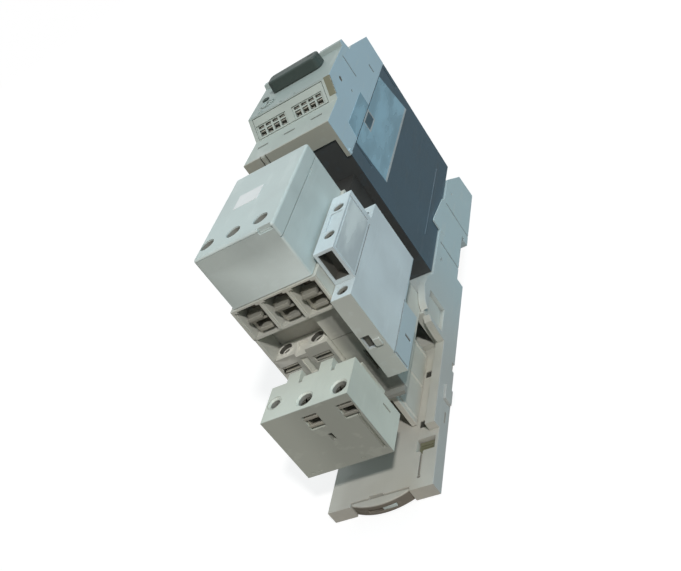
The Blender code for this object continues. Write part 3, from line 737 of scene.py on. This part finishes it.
def lining_plastic():
    # Painted shade: a dark grey for strips and rings set where slits and holes fall into shade
    return moulded("lining_plastic", linear(88, 88, 82), 0.55, 0.5, 0.05)


def bore_plastic():
    # Painted shade: a mid grey that darkens the walls of the round holes
    return moulded("bore_plastic", linear(146, 148, 142), 0.55, 0.3, 0.05)


def coil_plastic():
    # Painted light and shade: lighter than the body so that the block's front reads lit, with its lower end
    # face darker
    colour = linear(218, 219, 210)
    skins = ((toned(colour, 0.55), ("Y", -75.3, -75.7)),)
    return moulded("coil_plastic", colour, 0.5, 0.3, 0.3, skins)


def cream_plastic():
    return moulded("cream_plastic", linear(204, 194, 168), 0.5, 0.5, 0.3)


def window_plastic():
    return film("window_plastic", colour_of("window"), 0.3, 0.2)


def steel():
    return plated("plated_steel", colour_of("steel"))


def zinc():
    return plated("dull_zinc", linear(168, 168, 159), 0.5, 0.3)


def shade_darkened_steel():
    # Painted shade: steel made darker where screws sit deep in their holes
    return plated("screw_steel", linear(104, 102, 94), 0.42, 0.8)


def dull_steel():
    # Painted shade: the coil screws darker still, sunk in their shaded holes
    return plated("dull_steel", linear(86, 88, 78), 0.6, 0.2)


def copper():
    return plated("bare_copper", colour_of("copper"), 0.28)


def core_steel():
    return plated("core_laminate", linear(120, 120, 122), 0.42)


class STARTER_OT_plate(bpy.types.Operator):
    """Dress the long plate, the contactor's support and the rail latch"""

    bl_idname = "starter.plate"
    bl_label = "Plate and latch"

    def execute(self, context):
        grey = plate_plastic()
        cuts = []
        for x in both_sides((22.7, 25.0)):
            cuts.append(bar("X", (78.6, 19.7), 0.9, *x, sides=16))
            cuts.append(slab(x, around(17.7, 1.5), around(20.4, 0.45)))
            cuts.append(slab(x, around(-70.0, 3.0), around(3.0, 0.5)))
        cuts.append(slab((-5.0, 1.5), (-104.9, -103.2), (3.8, 7.0)))
        for y in (-100.2, -87.4):
            cuts.append(bar("Z", (16.5, y), 0.9, 4.4, 7.0, sides=16))
        for x in both_sides((8.0, 16.0)):
            cuts.append(slab(x, (105.4, 107.0), (3.0, 9.5)))
        dress("mounting_plate", grey, cuts=cuts)
        pocket = soft_slab((14.2, 21.8), (-87.4, -81.4), (3.4, 4.0), 0.15)
        ribs = [slab((15.0, 21.0), (y, y + 0.5), (3.8, 4.3)) for y in (-86.4, -85.0, -83.6)]
        make_piece("pocket_insert", pocket, window_plastic(), adds=ribs, edge=0.0)
        spots = [(x, y) for x in both_sides((12.8, 13.6)) for y in (-71.0, -52.0, -33.5)]
        ribs = [slab(x, (y, y + 1.2), (7.0, 24.0)) for x, y in spots]
        dress("contactor_support", grey, adds=ribs)
        slot = [slab((-6.4, 6.4), (-109.0, -107.0), (1.7, 3.3))]
        dress("rail_latch", latch_plastic(), body="latch", cuts=slot)
        # Painted light: a light slab in the latch's slot stands for the brightness seen through it
        window = soft_slab((0.3, 6.2), (-107.9, -107.0), (1.8, 3.2), 0.12)
        make_piece("latch_window", window, front_plastic(), "latch", edge=0.0)
        return {"FINISHED"}


class STARTER_OT_breaker_shell(bpy.types.Operator):
    """Dress the breaker's dark case and its light front cover"""

    bl_idname = "starter.breaker_shell"
    bl_label = "Breaker shell"

    def execute(self, context):
        cuts = []
        adds = []
        for x in both_sides((SIDE_X - 0.5, SIDE_X + 1.0)):
            cuts.append(slab(x, around(12.7, 0.8), (79.0, 92.7)))
            cuts.append(slab(x, around(96.0, 0.7), (79.0, 91.0)))
        for x in both_sides((SIDE_X - 0.1, SIDE_X + 0.25)):
            adds.append(slab(x, (20.0, 82.0), (34.0, 34.8)))
        cuts += [slab((-15.0, 15.0), (1.0, 2.9), around(z, 0.6)) for z in (33.0, 38.0, 43.0, 48.0)]
        for pole in POLES:
            cuts.append(slab(around(pole, 5.6), (99.2, 101.0), (65.0, 78.0)))
            cuts += [slab(around(pole, 4.6), (99.0, 101.0), z) for z in ((40.0, 41.2), (44.0, 45.2))]
        dress("breaker_case", case_plastic(), adds=adds, cuts=cuts)

        cuts = []
        for x in both_sides((SIDE_X - 0.9, SIDE_X + 1.0)):
            cuts += side_marks(x)
        for x, y in ((-4.4, 31.6), (3.3, 32.0)):
            cuts.append(bar("Z", (x, y), 0.7, FRONT_Z - 1.5, FRONT_Z + 1.0, sides=14))
        reach = (DIAL_AT[1] + 4.3, DIAL_AT[1] + 5.3)
        for mark in range(9):
            tick = slab(around(DIAL_AT[0], 0.15), reach, (118.8, 120.0))
            cuts.append(turned(tick, -120.0 + 30.0 * mark, DIAL_AT))
        cuts += [slab(x, (1.0, 2.6), (103.5, 110.5)) for x in ((-10.9, -10.3), (-13.6, -13.0))]
        for row in range(5):
            cuts.append(slab((-19.0, -6.0), around(77.5 + 1.6 * row, 0.3), (112.4 - 0.39 * row, 116.0)))
        adds = [soft_slab((-12.8, -11.1), (0.7, 2.6), (105.2, 109.7), 0.25)]
        adds.append(soft_slab((22.2, 23.1), (1.6, 3.6), (92.3, 94.6), 0.25))
        adds.append(ring("Z", (-15.8, 31.8), 0.9, 1.4, FRONT_Z - 0.1, FRONT_Z + 0.25, steps=24))
        dress("breaker_cover", breaker_plastic(), adds=adds, cuts=cuts)
        return {"FINISHED"}


class STARTER_OT_breaker_controls(bpy.types.Operator):
    """Make the breaker's handle, setting dial and test button"""

    bl_idname = "starter.breaker_controls"
    bl_label = "Breaker controls"

    def execute(self, context):
        dark = handle_plastic()
        x, y = HANDLE_AT
        grip = slab((x - 13.6, x + 14.2), (y - 5.8, y + 3.8), (119.4, 124.8))
        upright = [edge for edge in grip.edges if abs(edge.verts[0].co.z - edge.verts[1].co.z) > 0.003]
        round_edges(grip, upright, 2.6, 6)
        top = [vert for vert in grip.verts if vert.co.z > 0.124]
        narrow = Matrix.Translation(Vector((x, y, 0.0)) * MM) @ Matrix.Diagonal((0.975, 0.92, 1.0, 1.0))
        narrow = narrow @ Matrix.Translation(Vector((-x, -y, 0.0)) * MM)
        bmesh.ops.transform(grip, matrix=narrow, verts=top)
        rim = [edge for edge in grip.edges if all(vert.co.z > 0.124 for vert in edge.verts)]
        round_edges(grip, rim, 0.8, 4)
        stem = bar("Z", HANDLE_AT, 4.0, 108.0, 119.6, sides=28)
        cuts = [slab((8.6, 11.6), around(y, 0.45), (124.4, 126.0))]
        stands_for = ("breaker_handle",)
        make_piece("handle_grip", grip, dark, "handle", stands_for, [stem], cuts, edge=0.0)
        pointer = soft_slab((8.7, 11.5), around(y, 0.38), (124.2, 124.62), 0.08)
        make_piece("handle_pointer", pointer, front_plastic(), "handle", edge=0.0)

        fine = context.scene.starter_sizes.fine_edge
        outline = [(0.0, 112.0), (3.6, 112.0), (3.6, 119.2), (3.3, 119.5)]
        outline += [(2.4, 119.5), (2.3, 119.2), (0.0, 119.2)]
        cuts = [slab(around(DIAL_AT[0], 0.5), around(DIAL_AT[1], 2.2), (118.5, 121.0))]
        teeth = (DIAL_AT[1] + 3.2, DIAL_AT[1] + 4.0)
        for tooth in range(20):
            notch = slab(around(DIAL_AT[0], 0.18), teeth, (117.0, 121.0))
            cuts.append(turned(notch, 18.0 * tooth, DIAL_AT))
        make_piece(
            "dial_turned",
            lathe("Z", DIAL_AT, outline),
            breaker_plastic(),
            "dial",
            ("setting_dial",),
            cuts=cuts,
            edge=0.0,
        )
        mark = [slab(around(-17.0, 0.5), around(46.0, 1.0), (119.4, 121.0))]
        dress("test_button", dark, "button", cuts=mark, edge=fine)
        return {"FINISHED"}


class STARTER_OT_spring_terminals(bpy.types.Operator):
    """Dress the block of spring terminals in the riser and add its leaves"""

    bl_idname = "starter.spring_terminals"
    bl_label = "Spring terminals"

    def execute(self, context):
        cuts = []
        leaves = []
        for group in SPRING_GROUPS:
            cuts.append(prism("X", riser_patch((1.0, 6.7), (-1.0, 0.6)), *around(group, 8.2)))
        for middle in spring_columns():
            cuts.append(prism("X", riser_patch((1.5, 4.3), (0.0, 4.5)), *around(middle, 1.5)))
            cuts.append(prism("X", riser_patch((5.0, 6.2), (0.0, 3.0)), *around(middle, 1.45)))
            leaves.append(prism("X", riser_patch((3.4, 3.9), (0.9, 4.2)), *around(middle, 1.2)))
            leaves.append(prism("X", riser_patch((1.7, 2.1), (0.8, 4.2)), *around(middle, 0.6)))
            leaves.append(prism("X", riser_patch((5.4, 5.8), (1.2, 2.7)), *around(middle, 0.9)))
        fine = context.scene.starter_sizes.fine_edge
        block = prism("X", riser_patch((0.6, 10.2), (0.05, 6.0)), -20.3, 17.8)
        make_piece(
            "spring_terminal_block",
            block,
            breaker_plastic(),
            stands_for=("front_contact_block",),
            cuts=cuts,
            edge=fine,
        )
        make_piece("terminal_leaves", gathered(leaves), zinc(), edge=fine * 0.5)
        strip = prism("X", riser_patch((2.4, 11.3), (-0.12, 0.8)), 19.4, SIDE_X + 0.15)
        make_piece("sealing_strip", strip, window_plastic(), edge=fine)
        return {"FINISHED"}


class STARTER_OT_labels(bpy.types.Operator):
    """Make the blank labels on the breaker's side and the contactor's lid"""

    bl_idname = "starter.labels"
    bl_label = "Blank labels"

    def execute(self, context):
        thick = context.scene.starter_sizes.film / MM
        blue = film("label_film", colour_of("label"), streak=0.6)
        border = film("border_film", toned(colour_of("side"), 0.8), 0.25, 0.2)
        outline = [(83.5, 91.9), (91.4, 67.8), (16.6, 67.8), (13.9, 91.9)]
        window = slab((20.0, 24.0), (34.0, 45.6), (86.4, 91.6))
        side = (SIDE_X - 0.02, SIDE_X + thick)
        make_piece("case_label", prism("X", outline, *side), blue, cuts=[window], edge=0.0)
        lower = [(91.4, 67.8), (16.6, 67.8), (16.5, 69.0), (91.0, 69.0)]
        trim = prism("X", lower, SIDE_X + thick * 0.5, SIDE_X + thick * 1.15)
        make_piece("label_border", trim, border, edge=0.0)
        upper = [(17.0, 92.6), (50.0, 92.6), (50.0, 99.7), (18.6, 99.7)]
        make_piece("cover_label", prism("X", upper, *side), blue, edge=0.0)
        opening = slab((SIDE_X - 0.02, SIDE_X + thick * 0.6), (34.3, 45.3), (86.7, 91.3))
        pane = film("pane_film", linear(66, 100, 116), 0.3, 0.2)
        make_piece("label_window", opening, pane, edge=0.0)
        outer = slab((SIDE_X, SIDE_X + thick * 1.4), (33.4, 46.2), (86.0, 92.0))
        inner = slab((20.0, 24.0), (34.2, 45.4), (86.7, 91.3))
        white = film("blank_film", colour_of("blank"), 0.3, 0.1)
        make_piece("window_border", outer, border, cuts=[inner], edge=0.0)
        plate = soft_slab((-9.3, 2.5), (-47.0, -36.8), (LID_Z - 0.05, LID_Z + thick), 0.06)
        make_piece("lid_label", plate, white, edge=0.0)
        return {"FINISHED"}


class STARTER_OT_contactor_shell(bpy.types.Operator):
    """Dress the contactor's base, body, cover and lid"""

    bl_idname = "starter.contactor_shell"
    bl_label = "Contactor shell"

    def execute(self, context):
        grey = body_plastic()
        cuts = [slab((5.7, 21.0), (-78.0, BASE_FACE_Y), (27.0, 59.0))]
        cuts.append(slab(around(BASE_SLOT_X, 0.6), (-78.0, BASE_FACE_Y + 3.0), (38.3, 48.6)))
        for x in both_sides((19.2, 21.0)):
            cuts.append(slab(x, (-74.0, -19.0), (56.9, 57.8)))
            cuts += [slab(x, around(y, 2.5), around(33.0, 0.6)) for y in (-60.0, -48.0, -36.0)]
        dress("contactor_base", grey, cuts=cuts)

        adds = []
        cuts = []
        for pole in POLES:
            adds.append(slab(around(pole, 5.9), (-76.5, -75.5), (86.0, 87.3)))
            cuts.append(slab(around(pole, 4.3), (-76.6, -70.0), (85.0, 86.6)))
        for x in (-18.8, -6.25, 6.25, 18.8):
            adds.append(slab(around(x, 0.45), (-76.6, -75.5), (73.0, 87.3)))
        cuts.append(slab((-21.0, 5.75), (-78.0, -70.0), (66.0, UNDERCUT_Z)))
        cuts.append(slab((5.7, 21.0), (-78.0, BASE_FACE_Y), (57.0, UNDERCUT_Z)))
        wall = slab((-19.55, -18.4), (-75.9, -65.8), (COIL_FRONT + 0.1, UNDERCUT_Z - 0.1))
        make_piece("seat_wall", wall, grey, edge=context.scene.starter_sizes.fine_edge)
        dress("contactor_body", grey, adds=adds, cuts=cuts)

        cuts = [slab((-16.2, 16.2), (-61.0, -18.9), (86.0, 103.6))]
        for x in both_sides((17.8, 19.5)):
            cuts.append(slab(x, (-34.0, -27.5), (104.9, 106.0)))
        cuts += driver_bars()
        light = front_plastic()
        apron = [slab((-17.2, 17.2), (-75.5, -74.9), (105.0, LID_Z - 1.0))]
        notch = slab((11.2, 17.6), (-76.0, -74.5), (LID_Z - 2.2, LID_Z))
        cover = softened(block_of("contactor_cover"), 1.0, {(2, 0), (2, 1)})
        dress("contactor_cover", light, adds=apron, cuts=[*cuts, notch], shape=cover)
        cuts = [slab((-17.25, 17.25), (-76.0, -74.8), (105.0, LID_Z - 0.9))]
        cuts.append(slab((11.4, 17.0), (-76.0, -74.3), (LID_Z - 1.6, LID_Z + 1.0)))
        cuts += driver_bars()
        lid = softened(block_of("contactor_lid"), 1.0, {(2, 0)})
        dress("contactor_lid", light, cuts=cuts, shape=lid)
        return {"FINISHED"}


class STARTER_OT_cell_bars(bpy.types.Operator):
    """Make the bars and tongues at the mouths of the load terminals"""

    bl_idname = "starter.cell_bars"
    bl_label = "Load terminal bars"

    def execute(self, context):
        fine = context.scene.starter_sizes.fine_edge
        bars = []
        for pole in POLES:
            bars.append(slab((pole - 3.4, pole + 3.0), (-75.9, -72.9), (80.0, 81.5)))
            bars.append(slab((pole - 1.0, pole + 4.2), (-75.9, -72.9), (74.6, 76.0)))
            bars.append(slab(around(pole, 4.0), (-74.6, -63.5), (78.5, 79.5)))
        make_piece("cell_bars", gathered(bars), zinc(), edge=fine)
        return {"FINISHED"}


class STARTER_OT_screws(bpy.types.Operator):
    """Turn all the terminal screws and finish the box clamps"""

    bl_idname = "starter.screws"
    bl_label = "Screws and clamps"

    def execute(self, context):
        bright = zinc()
        # Screw heads use darker steels as painted shade in their holes
        dark = shade_darkened_steel()
        dull = dull_steel()
        heads = {"line_screw": (3, 2.7), "load_screw": (3, 2.3), "aux_screw": (3, 2.2)}
        heads.update({"coil_screw": (2, 2.0), "feeder_screw": (2, 2.0)})
        for kind, (count, head) in heads.items():
            for number in range(1, count + 1):
                screw_head(f"{kind}_{number}", dull if kind == "coil_screw" else dark, head)
        fine = context.scene.starter_sizes.fine_edge
        for kind, count in (("line_terminal", 3), ("load_terminal", 3), ("feeder_clamp", 2)):
            for number in range(1, count + 1):
                dress(f"{kind}_{number}", bright, edge=fine)
        return {"FINISHED"}


class STARTER_OT_coil_terminals(bpy.types.Operator):
    """Dress the coil's terminal block"""

    bl_idname = "starter.coil_terminals"
    bl_label = "Coil terminals"

    def execute(self, context):
        fine = context.scene.starter_sizes.fine_edge
        adds = [ring("Z", at, 2.9, 3.7, COIL_FRONT - 0.2, COIL_FRONT + 0.45) for at in COIL_SCREWS]
        cuts = [slab((-9.6, -4.4), (-76.5, -68.5), (58.4, 61.0))]
        cuts.append(slab((-8.6, -5.4), (-76.5, -75.0), (49.0, 57.0)))
        dress("coil_terminal_block", coil_plastic(), adds=adds, cuts=cuts, edge=fine)
        bars = []
        for x, _ in COIL_SCREWS:
            bars += [slab(around(x, 3.5), (-75.5, -71.5), z) for z in ((53.0, 53.7), (54.9, 55.6))]
        make_piece("coil_bars", gathered(bars), zinc(), edge=fine)
        return {"FINISHED"}


class STARTER_OT_side_block(bpy.types.Operator):
    """Dress the contact block on the contactor's side"""

    bl_idname = "starter.side_block"
    bl_label = "Side block"

    def execute(self, context):
        skin = (AUX_SIDE_X - 0.6, AUX_SIDE_X + 1.0)
        cuts = [
            slab(skin, (-81.0, -48.0), (47.1, 47.7)),
            slab(skin, around(AUX_SLOT_Y, 0.7), (39.2, 43.3)),
            slab(skin, around(AUX_GROOVE_Y, 0.35), (38.4, 47.0)),
            slab(skin, (-34.7, -34.1), (78.5, 92.5)),
            slab(skin, (-69.0, -35.0), (76.8, 77.3)),
            slab((20.6, 24.2), (-81.0, -77.0), (52.6, 58.6)),
            slab((22.0, 27.2), (-56.5, -44.0), (91.1, 93.0)),
        ]
        adds = [soft_slab((24.4, 27.4), (-80.8, -79.0), (53.0, 56.4), 0.3)]
        dress("aux_housing", side_plastic(), adds=adds, cuts=cuts)
        thick = context.scene.starter_sizes.film / MM
        plate = soft_slab((AUX_SIDE_X - 0.05, AUX_SIDE_X + thick), (-68.6, -35.6), (78.4, 90.6), 0.06)
        gloss = film("side_film", colour_of("side"), 0.2, 0.8)
        make_piece("side_label", plate, gloss, edge=0.0)
        return {"FINISHED"}


class STARTER_OT_feeder(bpy.types.Operator):
    """Dress the feeder terminal block at the lower end"""

    bl_idname = "starter.feeder"
    bl_label = "Feeder block"

    def execute(self, context):
        fine = context.scene.starter_sizes.fine_edge
        cuts = [slab((16.4, 17.8), (-107.0, -104.6), (29.0, 48.0))]
        for x in ((18.2, 20.0), (-19.5, -18.2)):
            cuts.append(slab(x, around(-91.8, 0.45), around(34.0, 2.6)))
        flare = (FEEDER_Z - 0.6, FEEDER_Z + 0.2)
        for x, y, radius in FEEDER_HOLES:
            cuts.append(bar("Z", (x, y), radius + 0.05, *flare, far_radius=radius + 0.8))
            cuts.append(bar("Z", (x, y), radius + 0.02, FEEDER_Z - 2.0, FEEDER_Z - 0.4))
        cuts.append(ring("Z", (-14.9, -96.8), 3.0, 3.3, FEEDER_Z - 0.2, FEEDER_Z + 1.0))
        for x in (-15.5, -12.0, 7.0):
            cuts.append(slab(around(x, 0.9), (-107.0, -105.6), (27.2, 27.8)))
        dress("feeder_block", feeder_plastic(), cuts=cuts)
        bars = []
        for x in (0.2, 14.9):
            bars += [slab(around(x, 2.9), (-105.6, -104.7), z) for z in ((50.9, 52.1), (47.2, 48.4))]
        make_piece("feeder_bars", gathered(bars), zinc(), edge=fine)
        return {"FINISHED"}


class STARTER_OT_painted_shade_strips(bpy.types.Operator):
    """Paint shade into the driver holes, slits and pin holes with darker inserts"""

    bl_idname = "starter.dark_linings"
    bl_label = "Dark linings"

    def execute(self, context):
        # Painted shade: mid grey rings in the driver, feeder and side block screw holes
        bore_shades = [ring("Z", at, 2.95, 3.15, 88.0, LID_Z - 0.5) for at in DRIVER_HOLES]
        for x, y, radius in FEEDER_HOLES:
            bore_shades.append(ring("Z", (x, y), radius - 0.22, radius - 0.04, 53.4, FEEDER_Z - 0.7))
        for x, y, front in AUX_SCREWS:
            bore_shades.append(ring("Z", (x, y), 2.15, 2.36, front - 3.0, front - 0.4))
        make_piece("bore_linings", gathered(bore_shades), bore_plastic(), edge=0.0)

        # Painted shade: dark rings and strips in the coil holes, slits, pockets and side slots
        shallow = (AUX_SIDE_X - 0.58, AUX_SIDE_X - 0.3)
        shade_sheets = [ring("Z", at, 2.72, 2.88, COIL_FRONT - 1.3, COIL_FRONT + 0.3) for at in COIL_SCREWS]
        shade_sheets += [
            slab((21.1, 27.2), (-64.45, -64.25), (78.7, 90.3)),
            slab((21.02, 21.15), (-69.4, -64.3), (78.7, 90.3)),
            slab((21.1, 27.2), (-69.4, -64.3), (78.62, 78.75)),
            slab((20.7, 24.1), (-78.4, -77.05), (52.7, 58.5)),
            slab(around(BASE_SLOT_X, 0.55), (BASE_FACE_Y + 1.0, BASE_FACE_Y + 2.95), (38.4, 48.5)),
            slab(shallow, around(AUX_SLOT_Y, 0.65), (39.3, 43.2)),
            slab(shallow, around(AUX_GROOVE_Y, 0.3), (38.5, 46.9)),
        ]
        for limits, y in (((13.5, 16.5), (-45.7, -41.7)), ((14.0, 17.5), (-75.0, -71.0))):
            for left, right in both_sides(limits):
                shade_sheets.append(slab((left + 0.02, right - 0.02), (y[1] - 0.2, y[1] - 0.02), (0.2, 5.4)))
                shade_sheets.append(slab((left + 0.02, left + 0.2), (y[0] + 0.02, y[1] - 0.25), (0.2, 5.4)))
        for x in both_sides((SIDE_X - 0.85, SIDE_X - 0.25)):
            shade_sheets += side_marks(x, 0.05)
        make_piece("dark_linings", gathered(shade_sheets), lining_plastic(), edge=0.0)
        return {"FINISHED"}


class STARTER_OT_inner_parts(bpy.types.Operator):
    """Give the parts inside the shells their finishes"""

    bl_idname = "starter.inner_parts"
    bl_label = "Inner parts"

    def execute(self, context):
        finishes = {
            "case_dark": inner_plastic(),
            "inner_black": inner_plastic(),
            "inner_cream": cream_plastic(),
            "steel": steel(),
            "copper": copper(),
            "core_steel": core_steel(),
        }
        for row in frame["record"]["subparts"]:
            node = frame["nodes"][row["node"]]
            if node.hide_render:
                continue
            node.data.materials.clear()
            node.data.materials.append(finishes[row["material_slot"]])
        return {"FINISHED"}


class STARTER_OT_stage(bpy.types.Operator):
    """Set the floor, the lamps, the background and the camera"""

    bl_idname = "starter.stage"
    bl_label = "Stage"

    def execute(self, context):
        scene = context.scene
        shape = bmesh.new()
        bmesh.ops.create_grid(shape, x_segments=1, y_segments=1, size=4.0)
        bmesh.ops.translate(shape, vec=(0.0, 0.0, -0.0002), verts=shape.verts)
        floor = as_object("floor", shape)
        floor.data.materials.append(self.floor_finish())
        self.light_world(scene)
        self.lamp("key", KEY_FROM, strength=2.0, spread=4.0, colour=(1.0, 0.96, 0.93))
        self.lamp("top", Vector((0.05, 0.2, 1.0)), strength=0.55, spread=25.0, colour=(0.84, 1.0, 1.05))
        self.lamp("warm", Vector((-0.2, -1.0, 0.2)), strength=0.16, spread=40.0, colour=(1.0, 0.62, 0.36))
        self.lamp("cool", Vector((1.0, 0.15, 0.3)), strength=0.42, spread=40.0, colour=(0.25, 0.74, 1.0))
        self.camera(scene)
        scene.view_settings.view_transform = "Standard"
        return {"FINISHED"}

    def floor_finish(self):
        """White to the camera, apart from the object's shadow, and a mid grey for bounced light."""
        finish = Finish("floor_paper")
        finish.tree.nodes.remove(finish.shader)
        glow = finish.node("ShaderNodeEmission", None, {"Strength": 0.8})
        paper = finish.node("ShaderNodeBsdfDiffuse", None, {"Color": (0.28, 0.28, 0.28)})
        seen = finish.node("ShaderNodeAddShader", None, {0: glow, 1: paper})
        bounce = finish.node("ShaderNodeBsdfDiffuse", None, {"Color": (0.22, 0.2, 0.18)})
        camera = finish.node("ShaderNodeLightPath", output="Is Camera Ray")
        finish.show(finish.node("ShaderNodeMixShader", None, {0: camera, 1: bounce, 2: seen}))
        return finish.material

    def light_world(self, scene):
        """A white background for what the camera and reflections see, and a soft cool sky for light."""
        scene.world = bpy.data.worlds.new("studio")
        studio = Network(scene.world, "ShaderNodeOutputWorld")
        white = studio.node("ShaderNodeBackground", None, {"Color": (1.0, 1.0, 1.0), "Strength": 1.0})
        sky = studio.node("ShaderNodeBackground", None, {"Color": (0.84, 0.96, 1.0), "Strength": 0.19})
        seen = studio.node("ShaderNodeLightPath", output="Is Camera Ray")
        for kind in ("Is Glossy Ray", "Is Transmission Ray"):
            seen = seen.math("MAXIMUM", seen, studio.node("ShaderNodeLightPath", output=kind))
        studio.show(studio.node("ShaderNodeMixShader", None, {0: seen, 1: sky, 2: white}))

    def lamp(self, name, source, strength, spread, colour):
        """A broad distant lamp that shines from a direction."""
        data = bpy.data.lights.new(name, "SUN")
        data.energy = strength
        data.angle = math.radians(spread)
        data.color = colour
        lamp = bpy.data.objects.new(name, data)
        lamp.rotation_euler = source.to_track_quat("Z", "Y").to_euler()
        bpy.context.scene.collection.objects.link(lamp)

    def camera(self, scene):
        """The camera at the photograph's viewing angle."""
        data = bpy.data.cameras.new("camera")
        data.lens = CAMERA_LENS
        data.sensor_width = 36.0
        data.sensor_fit = "HORIZONTAL"
        data.clip_start = 0.01
        camera = bpy.data.objects.new("camera", data)
        turn = Matrix((CAMERA_RIGHT, -CAMERA_DOWN, -CAMERA_AHEAD)).transposed().to_4x4()
        camera.matrix_world = Matrix.Translation(Vector(CAMERA_AT) * MM) @ turn
        scene.collection.objects.link(camera)
        scene.camera = camera


PIECE_OPERATORS = (
    STARTER_OT_plate,
    STARTER_OT_breaker_shell,
    STARTER_OT_breaker_controls,
    STARTER_OT_spring_terminals,
    STARTER_OT_labels,
    STARTER_OT_contactor_shell,
    STARTER_OT_cell_bars,
    STARTER_OT_screws,
    STARTER_OT_coil_terminals,
    STARTER_OT_side_block,
    STARTER_OT_feeder,
    STARTER_OT_painted_shade_strips,
    STARTER_OT_inner_parts,
    STARTER_OT_stage,
)


class STARTER_PT_panel(bpy.types.Panel):
    """Lists the starter's settings and pieces"""

    bl_idname = "STARTER_PT_panel"
    bl_label = "Motor starter"
    bl_space_type = "VIEW_3D"
    bl_region_type = "UI"
    bl_category = "Starter"

    def draw(self, context):
        for group in (context.scene.starter_colours, context.scene.starter_sizes):
            for name in group.__annotations__:
                self.layout.prop(group, name)
        for operator in PIECE_OPERATORS:
            self.layout.operator(operator.bl_idname)


CLASSES = (StarterColours, StarterSizes, *PIECE_OPERATORS, STARTER_PT_panel)


def register():
    for item in CLASSES:
        bpy.utils.register_class(item)
    bpy.types.Scene.starter_colours = bpy.props.PointerProperty(type=StarterColours)
    bpy.types.Scene.starter_sizes = bpy.props.PointerProperty(type=StarterSizes)


def unregister():
    del bpy.types.Scene.starter_sizes
    del bpy.types.Scene.starter_colours
    for item in reversed(CLASSES):
        bpy.utils.unregister_class(item)


def main():
    register()
    for operator in PIECE_OPERATORS:
        group, name = operator.bl_idname.split(".")
        getattr(getattr(bpy.ops, group), name)()


if __name__ == "__main__":
    main()
